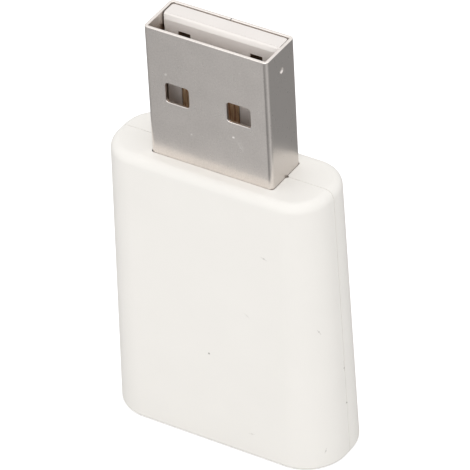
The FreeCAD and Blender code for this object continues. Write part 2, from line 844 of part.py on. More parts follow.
def on_back(body, across, up):
    """Stands a piece on the main board's rear face."""
    return put(body, across, board_back, up, BACK_TURN)


def module_board():
    """The radio module's board, with half-round solder holes along both sides."""
    body = new_body("module_board")
    half_width, half_height = dim.module_width / 2, (module_top - module_low) / 2
    outline = rectangle(-half_width, half_width, -half_height, half_height)
    prism(body, "module_plate", "XY_Plane", [outline], 0, dim.module_thickness)
    first = (dim.castellation_count - 1) * dim.castellation_spacing / 2
    holes = pair(lambda x: circle(x, -first, dim.castellation_diameter), half_width)
    row = prism(body, "first_castellations", "XY_Plane", holes, -PAST, dim.module_thickness + PAST, cut=True)
    repeat(body, "castellations", row, "Y_Axis", dim.castellation_spacing, dim.castellation_count)
    return on_front(body, 0, module_middle)


can_top = module_top - dim.can_margin
can_low = module_low + dim.antenna_edge_gap + dim.antenna_width + dim.can_antenna_gap
can_middle = (can_low + can_top) / 2


def shield_can():
    """The drawn steel can over the radio's chips."""
    body = new_body("shield_can")
    half_width, half_height = dim.can_width / 2, (can_top - can_low) / 2
    outline = rounded_rectangle(-half_width, half_width, -half_height, half_height, dim.can_corner)
    prism(body, "can_form", "XY_Plane", [outline], 0, dim.can_rise)
    half_width, half_height = half_width - dim.can_sheet, half_height - dim.can_sheet
    corner = dim.can_corner - dim.can_sheet
    hollow = rounded_rectangle(-half_width, half_width, -half_height, half_height, corner)
    prism(body, "can_hollow", "XY_Plane", [hollow], -PAST, dim.can_rise - dim.can_sheet, cut=True)
    return on_module(body, 0, can_middle)


def marked_chip(name, width, height, rise):
    """A square package with a corner cut off to mark its first terminal."""
    body = new_body(name)
    right, high = width / 2, height / 2
    mark = dim.chip_mark_size
    outline = polygon(
        (-right, -high), (right, -high), (right, high), (mark - right, high), (-right, high - mark),
    )
    prism(body, name + "_package", "XY_Plane", [outline], 0, rise)
    return body


can_inner_half_width = dim.can_width / 2 - dim.can_sheet - dim.can_inner_gap
can_inner_half_height = (can_top - can_low) / 2 - dim.can_sheet - dim.can_inner_gap


def radio_chip():
    """The radio's own chip, under the can."""
    body = marked_chip("radio_chip", dim.radio_chip_side, dim.radio_chip_side, dim.radio_chip_rise)
    half = dim.radio_chip_side / 2
    return on_module(body, half - can_inner_half_width, can_middle + can_inner_half_height - half)


def memory_chip():
    """The chip that keeps the radio's program, under the can."""
    body = marked_chip("memory_chip", dim.memory_chip_width, dim.memory_chip_height, dim.memory_chip_rise)
    across = can_inner_half_width - dim.memory_chip_width / 2
    return on_module(body, across, can_middle + can_inner_half_height - dim.memory_chip_height / 2)


def crystal_can():
    """The crystal that times the radio, under the can."""
    body = new_body("crystal_can")
    half_width, half_height = dim.crystal_width / 2, dim.crystal_height / 2
    outline = rectangle(-half_width, half_width, -half_height, half_height)
    prism(body, "crystal_base", "XY_Plane", [outline], 0, dim.crystal_base_rise)
    half_width, half_height = half_width - dim.crystal_lid_margin, half_height - dim.crystal_lid_margin
    lid = rectangle(-half_width, half_width, -half_height, half_height)
    lid_top = dim.crystal_base_rise + dim.crystal_lid_rise
    prism(body, "crystal_lid", "XY_Plane", [lid], dim.crystal_base_rise, lid_top)
    across = can_inner_half_width - dim.crystal_width / 2
    return on_module(body, across, can_middle - can_inner_half_height + dim.crystal_height / 2)


# Small chips
def capped_outline(length, rise, terminal):
    """The side view of a block with a slightly taller cap at each end."""
    half = length / 2
    inner = half - terminal
    low = rise - dim.cap_step
    return polygon(
        (-half, 0), (half, 0), (half, rise), (inner, rise),
        (inner, low), (-inner, low), (-inner, rise), (-half, rise),
    )


def end_capped(name, length, width, rise, terminal):
    """A block with a slightly taller cap at each end."""
    body = new_body(name)
    prism(body, name + "_form", "XZ_Plane", [capped_outline(length, rise, terminal)], -width / 2, width / 2)
    return body


def tiny_row(name, count):
    """Equal chips side by side, each a solid of its own."""
    body = end_capped(name, dim.tiny_length, dim.tiny_width, dim.tiny_rise, dim.tiny_terminal)
    body.AllowCompound = True
    repeat(body, name + "_row", body.Tip, "Y_Axis", dim.tiny_spacing, count)
    return body


# Columns of chips beside the module on the front, and rows of tiny ones on the rear
column_across = (dim.module_width / 2 + board_half_width) / 2
column_top = post_high - dim.post_width / 2 - dim.column_gap
chip_row_across = dim.module_width / 2 - dim.tiny_length
chip_row_top = dim.lamp_height - dim.small_width - dim.column_gap


def chip_antenna():
    """The ceramic aerial at the module's free end."""
    sizes = (dim.antenna_length, dim.antenna_width, dim.antenna_rise, dim.antenna_terminal)
    middle = module_low + dim.antenna_edge_gap + dim.antenna_width / 2
    return on_module(end_capped("chip_antenna", *sizes), 0, middle)


def matching_chips():
    """The row of chips that tune the aerial, under the can."""
    body = new_body("matching_chips")
    body.AllowCompound = True
    outline = capped_outline(dim.tiny_length, dim.tiny_rise, dim.tiny_terminal)
    chip = prism(body, "matching_chip", "YZ_Plane", [outline], -dim.tiny_width / 2, dim.tiny_width / 2)
    repeat(body, "matching_row", chip, "X_Axis", dim.tiny_spacing, dim.matching_count)
    across = dim.tiny_width / 2 - can_inner_half_width
    return on_module(body, across, can_middle - can_inner_half_height + dim.tiny_length / 2)


input_capacitor_middle = column_top - dim.medium_width / 2
regulator_middle = input_capacitor_middle - dim.medium_width / 2 - dim.column_gap - dim.package_length / 2
output_capacitor_middle = regulator_middle - dim.package_length / 2 - dim.column_gap - dim.medium_width / 2
fuse_middle = column_top - dim.fuse_length / 2
bead_middle = fuse_middle - dim.fuse_length / 2 - dim.column_gap - dim.medium_width / 2


def input_capacitor():
    """The capacitor on the plug's supply."""
    sizes = (dim.medium_length, dim.medium_width, dim.capacitor_rise, dim.medium_terminal)
    return on_front(end_capped("input_capacitor", *sizes), column_across, input_capacitor_middle)


def output_capacitor():
    """The capacitor on the regulated supply."""
    sizes = (dim.medium_length, dim.medium_width, dim.capacitor_rise, dim.medium_terminal)
    return on_front(end_capped("output_capacitor", *sizes), column_across, output_capacitor_middle)


def ferrite_bead():
    """The bead that keeps noise off the supply."""
    sizes = (dim.medium_length, dim.medium_width, dim.bead_rise, dim.medium_terminal)
    return on_front(end_capped("ferrite_bead", *sizes), -column_across, bead_middle)


def fuse():
    """The chip fuse behind the plug's supply contact."""
    sizes = (dim.fuse_length, dim.fuse_width, dim.fuse_rise, dim.fuse_terminal)
    return on_front(end_capped("fuse", *sizes), -column_across, fuse_middle, QUARTER_SPIN)


def led_resistor():
    """The status lamp's resistor."""
    sizes = (dim.small_length, dim.small_width, dim.small_rise, dim.small_terminal)
    across = dim.guide_flange_diameter / 2 + dim.small_length
    return on_back(end_capped("led_resistor", *sizes), -across, dim.lamp_height)


def chip_resistors():
    """The row of small resistors on the board's rear face."""
    body = tiny_row("chip_resistors", dim.resistor_count)
    return on_back(body, -chip_row_across, chip_row_top)


def chip_capacitors():
    """The row of small capacitors on the board's rear face."""
    body = tiny_row("chip_capacitors", dim.capacitor_count)
    return on_back(body, chip_row_across, chip_row_top)


# Packages with bent leads
def lead_outline(side):
    """A bent lead seen from the package's end, out to one side (+1 or -1)."""
    span = dim.package_width / 2 + dim.lead_reach
    foot = span - dim.lead_foot
    thick = dim.lead_thickness
    rise = dim.lead_entry
    inside = dim.package_width / 2 - dim.lead_bite
    points = [
        (span, 0), (span, thick), (foot, thick), (foot, rise),
        (inside, rise), (inside, rise - thick), (foot - thick, rise - thick), (foot - thick, 0),
    ]
    return polygon(*[(across * side, up) for across, up in points])


def leaded_package(name, near_places, far_places):
    """A small moulded package, its sides drawn in towards the top, with leads at the given places."""
    body = new_body(name)
    half_length, half_width = dim.package_length / 2, dim.package_width / 2
    outline = rectangle(-half_length, half_length, -half_width, half_width)
    low, high = dim.package_standoff, dim.package_rise
    prism(body, name + "_form", "XY_Plane", [outline], low, high, draft=dim.package_draft)
    half = dim.lead_width / 2
    for row, side, places in (("near", -1, near_places), ("far", 1, far_places)):
        for number, place in enumerate(places, 1):
            middle = dim.lead_spacing * place
            lead = [lead_outline(side)]
            prism(body, f"{name}_{row}_lead_{number}", "YZ_Plane", lead, middle - half, middle + half)
    return body


def voltage_regulator():
    """The five-legged regulator that makes the radio's supply."""
    body = leaded_package("voltage_regulator", (-1, 0, 1), (-1, 1))
    return on_front(body, column_across, regulator_middle, QUARTER_SPIN)


def surge_diode():
    """The three-legged diode that guards the data lines, below the contacts' tails."""
    body = leaded_package("surge_diode", (-1, 1), (0,))
    middle = (module_top + plug_base - dim.contact_tail) / 2
    return on_front(body, 0, middle)


# Status lamp and light guide
def status_led():
    """The status lamp: a flat base with a clear lens block."""
    sizes = (dim.small_length, dim.small_width, dim.lamp_base_rise, dim.small_terminal)
    body = end_capped("status_led", *sizes)
    half, deep = dim.lamp_lens_length / 2, dim.small_width / 2
    low = dim.lamp_base_rise - dim.cap_step
    lens = rectangle(-half, half, -deep, deep)
    prism(body, "lens", "XY_Plane", [lens], low, low + dim.lamp_lens_rise)
    return on_back(body, 0, dim.lamp_height)


def light_guide():
    """A clear flanged pin, turned about its own axis, whose face sits just below the shell's."""
    body = new_body("light_guide")
    inner = dim.lamp_base_rise - dim.cap_step + dim.lamp_lens_rise + dim.guide_lamp_gap
    flange_high = guide_shoulder - board_back
    face = outer_half_depth(dim.lamp_height) - dim.guide_recess - board_back
    flange = dim.guide_flange_diameter / 2
    pin = dim.guide_diameter / 2
    profile = polygon(
        (0, inner), (flange, inner), (flange, flange_high), (pin, flange_high), (pin, face), (0, face),
    )
    sketch = new_sketch(body, "guide_profile", "XZ_Plane", [profile])
    turned = body.newObject("PartDesign::Revolution", "guide_form")
    turned.Profile = sketch
    turned.ReferenceAxis = (origin_item(body, "Z_Axis"), [""])
    turned.Angle = 360
    return on_back(body, 0, dim.lamp_height)


# Reset switch
plunger_top = inner_half_depth(dim.reset_height) - dim.plunger_wall_gap - board_back
cover_top = plunger_top - dim.plunger_proud
cover_low = cover_top - dim.frame_sheet
switch_top = cover_low - dim.frame_clearance


def switch_base():
    """The reset switch's moulded base, with a round recess and four feet."""
    body = new_body("switch_base")
    half = dim.switch_side / 2
    inner = half - dim.frame_sheet - dim.frame_clearance
    block = rectangle(-half, half, -inner, inner)
    prism(body, "switch_block", "XY_Plane", [block], 0, switch_top)
    recess = circle(0, 0, dim.switch_recess_diameter)
    prism(body, "switch_recess", "XY_Plane", [recess], dim.switch_floor, switch_top + PAST, cut=True)
    reach = half + dim.switch_foot_reach
    width = dim.switch_foot_width / 2
    feet = pair(lambda y: rectangle(-reach, reach, y - width, y + width), dim.switch_foot_spacing / 2)
    prism(body, "switch_feet", "XY_Plane", feet, 0, dim.switch_foot_rise)
    return on_back(body, 0, dim.reset_height)


def switch_frame():
    """The folded cover that holds the plunger in the reset switch."""
    body = new_body("switch_frame")
    half = dim.switch_side / 2
    inner = half - dim.frame_sheet
    low = cover_top - dim.frame_leg_drop
    outline = polygon(
        (-half, low), (-inner, low), (-inner, cover_low), (inner, cover_low),
        (inner, low), (half, low), (half, cover_top), (-half, cover_top),
    )
    prism(body, "cover_form", "YZ_Plane", [outline], -half, half)
    hole = circle(0, 0, dim.plunger_diameter + dim.plunger_clearance * 2)
    prism(body, "cover_hole", "XY_Plane", [hole], cover_low - PAST, cover_top + PAST, cut=True)
    return on_back(body, 0, dim.reset_height)


def reset_plunger():
    """The button that a pin reaches through the housing's pinhole."""
    body = new_body("reset_plunger")
    flange_top = cover_low - dim.frame_top_gap
    flange_low = flange_top - dim.plunger_flange_rise
    flange = circle(0, 0, dim.plunger_flange_diameter)
    prism(body, "plunger_flange", "XY_Plane", [flange], flange_low, flange_top)
    stem = circle(0, 0, dim.plunger_diameter)
    prism(body, "plunger_stem", "XY_Plane", [stem], flange_low, plunger_top)
    return on_back(body, 0, dim.reset_height)


# Every piece of the part, in the order in which it goes together
pieces = [
    usb_shell(),
    usb_insulator(),
    contact("supply_contact", -dim.outer_contact_offset, outer_channel_top),
    contact("data_minus_contact", -dim.inner_contact_offset, inner_channel_top),
    contact("data_plus_contact", dim.inner_contact_offset, inner_channel_top),
    contact("ground_contact", dim.outer_contact_offset, outer_channel_top),
    main_board(),
    module_board(),
    radio_chip(),
    memory_chip(),
    crystal_can(),
    matching_chips(),
    chip_antenna(),
    shield_can(),
    voltage_regulator(),
    input_capacitor(),
    output_capacitor(),
    fuse(),
    ferrite_bead(),
    surge_diode(),
    status_led(),
    led_resistor(),
    chip_resistors(),
    chip_capacitors(),
    switch_base(),
    reset_plunger(),
    switch_frame(),
    light_guide(),
    rear_shell(),
    front_shell(),
]

# Nothing is written unless every object of the document is sound
doc.recompute()
for item in doc.Objects:
    if "Invalid" in item.State or "Error" in item.State:
        raise RuntimeError(f"{item.Label} failed: {item.State}")
for piece in pieces:
    if piece.Shape.isNull() or not piece.Shape.isValid():
        raise RuntimeError(f"{piece.Label} has no valid shape")

os.makedirs("parts", exist_ok=True)
for piece in pieces:
    piece.Shape.exportStep(f"parts/{piece.Label}.step")
    print(piece.Label, len(piece.Shape.Solids), round(piece.Shape.Volume, 3))
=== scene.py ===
"""Visual model of a signal repeater stick: a two-shell plastic housing with a folded steel USB plug.

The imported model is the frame. Shapes are worked out in millimetres, with +X along the wide side, +Y to the
back and +Z up through the plug, and go into the meshes in metres. The housing stands on its flat end at the
origin.
"""
import logging
import math
from dataclasses import dataclass, field
from enum import Enum
from functools import cached_property

import bmesh
import bpy
import numpy as np
from mathutils import Matrix, Vector


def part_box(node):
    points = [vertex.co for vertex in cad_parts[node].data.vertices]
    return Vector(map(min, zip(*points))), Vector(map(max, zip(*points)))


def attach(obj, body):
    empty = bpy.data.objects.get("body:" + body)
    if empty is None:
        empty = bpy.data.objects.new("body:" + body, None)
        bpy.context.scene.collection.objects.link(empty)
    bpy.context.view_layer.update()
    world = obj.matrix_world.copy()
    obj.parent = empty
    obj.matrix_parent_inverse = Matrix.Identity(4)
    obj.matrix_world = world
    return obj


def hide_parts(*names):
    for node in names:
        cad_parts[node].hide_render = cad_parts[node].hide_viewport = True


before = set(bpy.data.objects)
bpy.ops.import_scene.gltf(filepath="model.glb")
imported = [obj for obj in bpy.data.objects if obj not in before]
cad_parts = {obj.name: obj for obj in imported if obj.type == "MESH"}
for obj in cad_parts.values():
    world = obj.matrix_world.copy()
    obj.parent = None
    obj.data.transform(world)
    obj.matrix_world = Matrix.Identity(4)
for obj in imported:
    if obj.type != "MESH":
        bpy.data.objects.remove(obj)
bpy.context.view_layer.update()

LOG = logging.getLogger("signal_repeater")
MM = 0.001
# Points closer than this, in millimetres, are one point
WELD = 1e-4
# Faces of a CAD mesh that meet at less than this, in degrees, are one face
FLAT = 0.5
# Angle in degrees from which an edge is sharp
CREASE = 30.0
# How far larger faces draw the shading to themselves, at its full
AREA_WEIGHT = 100
# Segments of a half circle
HALF_TURN = 24
# The body that all new pieces move with
BODY = "stick"

Array = np.ndarray
Material = bpy.types.Material
Object = bpy.types.Object
Socket = bpy.types.NodeSocket
Pair = tuple[float, float]
Point = tuple[float, float, float]
Colour = tuple[float, float, float]


class Side(Enum):
    """The housing's halves, by the sign of Y on their side of the seam."""

    FRONT = -1
    REAR = 1


# Shapes
def arc(start: float, stop: float, steps: int) -> Array:
    """Angles in radians from start to stop in degrees, both included."""
    return np.radians(np.linspace(start, stop, steps + 1))


def turned(profile: list[Pair], across: float, height: float) -> Array:
    """Turns a profile about an axis that runs along the depth.

    A point is (across + r cos a, depth, height + r sin a), with r and depth from the profile and a all the
    way round.

    Args:
        profile: Radius and depth of each row.
        across: The axis's place along X.
        height: The axis's place along Z.

    Returns:
        Grid of shape (rows, columns, 3), open where the last column meets the first.
    """
    radius, depth = np.array(profile, float).T[:, :, None]
    angle = arc(-90, 270, 2 * HALF_TURN)[:-1]
    parts = [across + radius * np.cos(angle), depth + 0 * angle, height + radius * np.sin(angle)]
    return np.stack(parts, axis=-1)


def at(flat: Array, height: Array | float) -> Array:
    """Adds heights to points of across and depth."""
    levels = np.broadcast_to(np.asarray(height, float), np.shape(flat)[:-1])
    return np.concatenate([flat, levels[..., None]], axis=-1)


def upright(loop: Array, depth: float | Array) -> Array:
    """Adds a depth to points of across and height."""
    across, height = np.asarray(loop, float).T
    return np.stack([across, np.broadcast_to(depth, len(across)), height], axis=-1)


def new_object(name: str, data: bpy.types.ID) -> Object:
    """Puts data into the scene.

    Args:
        name: The object's name.
        data: The mesh, lamp or camera that it shows.

    Returns:
        The object, at the origin.
    """
    item = bpy.data.objects.new(name, data)
    bpy.context.scene.collection.objects.link(item)
    return item


@dataclass
class Skin:
    """Patches of one piece's surface, gathered in millimetres and welded into one mesh."""

    name: str
    points: list[Array] = field(default_factory=list)
    faces: list[Array] = field(default_factory=list)
    count: int = 0

    def keep(self, points: Array) -> Array:
        """Stores points.

        Args:
            points: Array whose last axis is x, y and z.

        Returns:
            The points' numbers, in the array's layout.
        """
        flat = np.asarray(points, float).reshape(-1, 3)
        numbers = np.arange(self.count, self.count + len(flat)).reshape(np.shape(points)[:-1])
        self.points.append(flat)
        self.count += len(flat)
        return numbers

    def grid(self, rows: list[Array] | Array, closed: bool = False,
             skip: tuple[tuple[int, int], ...] = ()) -> None:
        """Adds the quads between rows of points.

        Args:
            rows: The rows, each with as many points.
            closed: Joins each row's last point to its first.
            skip: Row and column of quads that stay open.
        """
        numbers = self.keep(np.stack(rows))
        if closed:
            numbers = np.concatenate([numbers, numbers[:, :1]], axis=1)
        quads = np.stack([numbers[:-1, :-1], numbers[:-1, 1:], numbers[1:, 1:], numbers[1:, :-1]], axis=-1)
        wanted = np.ones(quads.shape[:2], bool)
        for row, column in skip:
            wanted[row, column] = False
        self.faces.extend(quads[wanted])

    def face(self, loop: Array) -> None:
        """Adds one flat face inside a loop of points."""
        self.faces.append(self.keep(loop))

    def prism(self, ends: list[Array]) -> None:
        """Adds the walls between two equal loops of points, and a flat face on each loop.

        Args:
            ends: The two loops.
        """
        self.grid(ends, closed=True)
        for end in ends:
            self.face(end)

    def block(self, across: Pair, depth: Pair, up: Pair) -> None:
        """Adds a closed block between two places on each axis."""
        section = [(across[x], up[z]) for x, z in ((0, 0), (1, 0), (1, 1), (0, 1))]
        self.prism([upright(section, place) for place in depth])

    def ring(self, profile: list[Pair], across: float, height: float) -> None:
        """Adds a turned form whose profile closes on itself or on its axis."""
        self.grid(turned(profile, across, height), closed=True)

    def build(self) -> Object:
        """Welds the patches into one mesh.

        Returns:
            The piece's object, at the origin.
        """
        points = np.concatenate(self.points)
        _, first, number = np.unique(
            np.round(points / WELD).astype(np.int64), axis=0, return_index=True, return_inverse=True)
        merged = [number.reshape(-1)[face] for face in self.faces]
        merged = [face[face != np.roll(face, 1)] for face in merged]
        mesh = bpy.data.meshes.new(self.name)
        faces = [face.tolist() for face in merged if len(face) > 2]
        mesh.from_pydata((points[first] * MM).tolist(), [], faces)
        return finish_mesh(new_object(self.name, mesh), CREASE)


def finish_mesh(piece: Object, crease: float) -> Object:
    """Turns a mesh's faces outwards and shades them by area, so that flat faces stay flat.

    Args:
        piece: The object to finish.
        crease: Angle in degrees from which an edge is sharp.

    Returns:
        The same object.
    """
    work = bmesh.new()
    work.from_mesh(piece.data)
    bmesh.ops.recalc_face_normals(work, faces=work.faces)
    loose = sum(not edge.is_manifold for edge in work.edges)
    work.to_mesh(piece.data)
    work.free()
    piece.data.shade_smooth()
    piece.data.set_sharp_from_angle(angle=math.radians(crease))
    weighted = piece.modifiers.new("flat_faces", "WEIGHTED_NORMAL")
    weighted.keep_sharp = True
    weighted.weight = AREA_WEIGHT
    if loose:
        LOG.warning("%s has %d open edges", piece.name, loose)
    return piece


def smoothed_copy(name: str, node: str, crease: float = CREASE) -> Object:
    """Copies a CAD node's mesh, merges its loose triangles and smooths its curved faces.

    Args:
        name: The new piece's name.
        node: The CAD node that it stands for.
        crease: Angle in degrees from which an edge is sharp.

    Returns:
        The new object, at the origin.
    """
    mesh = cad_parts[node].data.copy()
    mesh.name = name
    mesh.materials.clear()
    work = bmesh.new()
    work.from_mesh(mesh)
    bmesh.ops.remove_doubles(work, verts=work.verts, dist=WELD * MM)
    bmesh.ops.dissolve_limit(work, angle_limit=math.radians(FLAT), verts=work.verts, edges=work.edges)
    work.to_mesh(mesh)
    work.free()
    piece = new_object(name, mesh)
    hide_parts(node)
    return finish_mesh(piece, crease)


def dress(piece: Object, material: Material) -> None:
    """Dresses a new piece and reports it.

    Args:
        piece: The piece's object.
        material: Its material.
    """
    piece.data.materials.append(material)
    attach(piece, BODY)
    LOG.info("%s: %d faces, rides on %s", piece.name, len(piece.data.polygons), BODY)


# Materials
# What a node's input takes: another node's output, a number, or a place or colour
Feed = Socket | float | tuple


def tint(colour: Colour, factor: float) -> Colour:
    """A colour made darker or lighter by a factor, and no lighter than white."""
    return tuple(min(1.0, part * factor) for part in colour)


class Contrast(Enum):
    """How far from a half a noise has made its whole change."""

    FULL = 0.5
    SOFT = 0.2
    CLEAR = 0.15
    SHARP = 0.1


class Reading(Enum):
    """What a fade reads of a point: an axis, and whether both sides of its middle count alike."""

    HEIGHT = ("Z", False)
    DEPTH = ("Y", False)
    OFF_MIDDLE_ACROSS = ("X", True)
    OFF_MIDDLE_DEEP = ("Y", True)


@dataclass
class Graph:
    """The nodes of a material or a world, made and joined by short calls."""

    owner: Material | bpy.types.World

    def __post_init__(self) -> None:
        """Empties the owner's node tree."""
        self.owner.use_nodes = True
        self.owner.node_tree.nodes.clear()

    @cached_property
    def place(self) -> Socket:
        """The object's own coordinates."""
        return self.add("TexCoord").outputs["Object"]

    def add(self, kind: str, inputs: dict[int | str, Feed] | None = None, **settings: str) -> bpy.types.Node:
        """Adds a node.

        Args:
            kind: The node's type, without its ShaderNode prefix.
            inputs: What each named or numbered input takes, a colour without its alpha.
            **settings: Values of the node's own properties.

        Returns:
            The node.
        """
        tree = self.owner.node_tree
        node = tree.nodes.new("ShaderNode" + kind)
        for key, value in settings.items():
            setattr(node, key, value)
        for key, value in (inputs or {}).items():
            socket = node.inputs[key]
            if isinstance(value, Socket):
                tree.links.new(value, socket)
            else:
                socket.default_value = (*value, 1.0) if socket.type == "RGBA" else value
        return node

    def along(self, axis: str) -> Socket:
        """A point's coordinate on an axis."""
        return self.add("SeparateXYZ", {0: self.place}).outputs[axis]

    def noise(self, size: float, detail: float = 2.0, stretch: Point = (1, 1, 1)) -> Socket:
        """Noise on the object's own coordinates.

        Args:
            size: About how large its grains are, in millimetres.
            detail: How many finer layers it has.
            stretch: How far its grains are drawn out along each axis.

        Returns:
            The noise, which lies about a half.
        """
        scale = [1 / (size * MM * along) for along in stretch]
        spread = self.add("Mapping", {"Vector": self.place, "Scale": scale})
        inputs = {"Vector": spread.outputs[0], "Scale": 1.0, "Detail": detail}
        return self.add("TexNoise", inputs).outputs["Fac"]

    def span(self, value: Feed, low: float, high: float, to_low: float, to_high: float,
             smooth: bool = False) -> Socket:
        """Carries a value from one range to another, held at its ends and, if smooth, eased there."""
        inputs = {"Value": value, "From Min": low, "From Max": high, "To Min": to_low, "To Max": to_high}
        return self.add(
            "MapRange", inputs, interpolation_type="SMOOTHSTEP" if smooth else "LINEAR").outputs[0]

    def swing(self, noise: Feed, low: float, high: float, contrast: Contrast = Contrast.SOFT) -> Socket:
        """Carries a noise to a range, over the stretch about a half that its contrast gives."""
        return self.span(noise, 0.5 - contrast.value, 0.5 + contrast.value, low, high)

    def math(self, operation: str, *values: Feed) -> Socket:
        """One step of arithmetic."""
        return self.add("Math", dict(enumerate(values)), operation=operation).outputs[0]

    def vector(self, operation: str, *values: Feed) -> bpy.types.bpy_prop_collection:
        """The outputs of one step of arithmetic on places."""
        return self.add("VectorMath", dict(enumerate(values)), operation=operation).outputs

    def mix(self, share: Feed, first: Feed, second: Feed) -> Socket:
        """Colour between two colours, which a mix node takes as its inputs 6 and 7."""
        return self.add("Mix", {0: share, 6: first, 7: second}, data_type="RGBA").outputs[2]

    def vary(self, share: Feed, colour: Colour, tone: float) -> Socket:
        """A colour that runs from darker to lighter by a tone."""
        return self.mix(share, tint(colour, 1 - tone), tint(colour, 1 + tone))

    def strongest(self, marks: list["Mark"]) -> Socket:
        """The strongest share of any mark at a point.

        Args:
            marks: One mark or more.

        Returns:
            The share.
        """
        share = 0.0
        for mark in marks:
            share = self.math("MAXIMUM", share, mark.share(self))
        return share

    def bump(self, height: Feed, distance: float) -> Socket:
        """Normal of a relief whose full height is a distance in millimetres."""
        return self.add("Bump", {"Height": height, "Distance": distance * MM, "Strength": 1.0}).outputs[0]

    def surface(self, inputs: dict[str, Feed]) -> Material:
        """Closes the material with a principled shader, whose inputs are given, and returns it."""
        self.add("OutputMaterial", {"Surface": self.add("BsdfPrincipled", inputs).outputs[0]})
        return self.owner


@dataclass(frozen=True)
class Blemish:
    """A speck of dust or a pit: its place in metres, radius in millimetres and how strongly it shows.

    It shows in full within its core, a share of its radius.
    """

    place: Point
    radius: float
    depth: float
    core: float = 0.45

    def share(self, graph: Graph) -> Socket:
        """Share at a point: the speck's strength in its core, falling smoothly to nothing at its radius."""
        away, reach = graph.vector("DISTANCE", graph.place, self.place)["Value"], self.radius * MM
        return graph.span(away, self.core * reach, reach, self.depth, 0.0, smooth=True)


@dataclass(frozen=True)
class Scratch:
    """A straight scratch: its ends in metres, half width in millimetres and how strongly it shows.

    It shows in full within its core, a share of its half width.
    """

    start: Point
    stop: Point
    width: float
    depth: float
    core: float = 0.3

    def share(self, graph: Graph) -> Socket:
        """Share of the scratch at a point, from the distance to the nearest point of its middle line.

        Args:
            graph: The material's nodes.

        Returns:
            The share.
        """
        way = Vector(self.stop) - Vector(self.start)
        away = graph.vector("SUBTRACT", graph.place, self.start)[0]
        along = graph.vector("DOT_PRODUCT", away, way / way.length_squared)["Value"]
        held = graph.span(along, 0.0, 1.0, 0.0, 1.0)
        foot = graph.add("VectorMath", {0: way, "Scale": held}, operation="SCALE").outputs[0]
        gap = graph.vector("DISTANCE", away, foot)["Value"]
        reach = self.width * MM
        return graph.span(gap, self.core * reach, reach, self.depth, 0.0)


Mark = Blemish | Scratch


@dataclass(frozen=True)
class Fade:
    """A share that runs from nothing at one reading to the whole at another, in millimetres."""

    reading: Reading
    nothing: float
    whole: float


@dataclass(frozen=True)
class Zone:
    """A part of a surface with a colour painted over it, in full where all its fades are whole; the finishes
    use it for painted shade and painted highlight.
    """

    colour: Colour
    fades: tuple[Fade, ...]

    def lay(self, graph: Graph, under: Feed) -> Socket:
        """Lays the zone's colour over another.

        Args:
            graph: The material's nodes.
            under: The colour that shows outside the zone.

        Returns:
            The colour with the zone.
        """
        share = 1.0
        for fade in self.fades:
            axis, alike = fade.reading.value
            place = graph.along(axis)
            if alike:
                place = graph.math("ABSOLUTE", place)
            grown = graph.span(place, fade.nothing * MM, fade.whole * MM, 0.0, 1.0)
            share = graph.math("MULTIPLY", share, grown)
        return graph.mix(share, under, self.colour)


# In the finishes, grains, clouds, patches and reliefs are in millimetres, tone is the share by which the
# colour varies, and swing is what the roughness varies by
@dataclass(frozen=True)
class Plastic:
    """Moulded plastic with a fine spark texture and a faint unevenness of tone and gloss."""

    name: str
    colour: Colour
    roughness: float = 0.42
    grain: float = 0.14
    relief: float = 0.002
    tone: float = 0.02
    cloud: float = 5.0
    patch: float = 1.1
    swing: float = 0.05
    refraction: float = 1.48
    gloss: float = 0.4
    dust: Colour = (0.20, 0.17, 0.14)
    zones: tuple[Zone, ...] = ()

    def make(self, *groups: list[Mark]) -> Material:
        """Builds the material.

        Args:
            *groups: Groups of dusty marks, each laid over the last one.

        Returns:
            The material.
        """
        graph = Graph(bpy.data.materials.new(self.name))
        clouds = graph.swing(graph.noise(self.cloud, detail=3.0), 0.0, 1.0, Contrast.CLEAR)
        colour = graph.vary(clouds, self.colour, self.tone)
        for marks in filter(None, groups):
            colour = graph.mix(graph.strongest(marks), colour, self.dust)
        for zone in self.zones:
            colour = zone.lay(graph, colour)
        fine, patches = graph.noise(self.grain, detail=3.0), graph.noise(self.patch, detail=4.0)
        rough = graph.swing(patches, self.roughness - self.swing, self.roughness + self.swing)
        return graph.surface({
            "Base Color": colour, "Roughness": rough, "Normal": graph.bump(fine, self.relief),
            "IOR": self.refraction, "Specular IOR Level": self.gloss,
        })


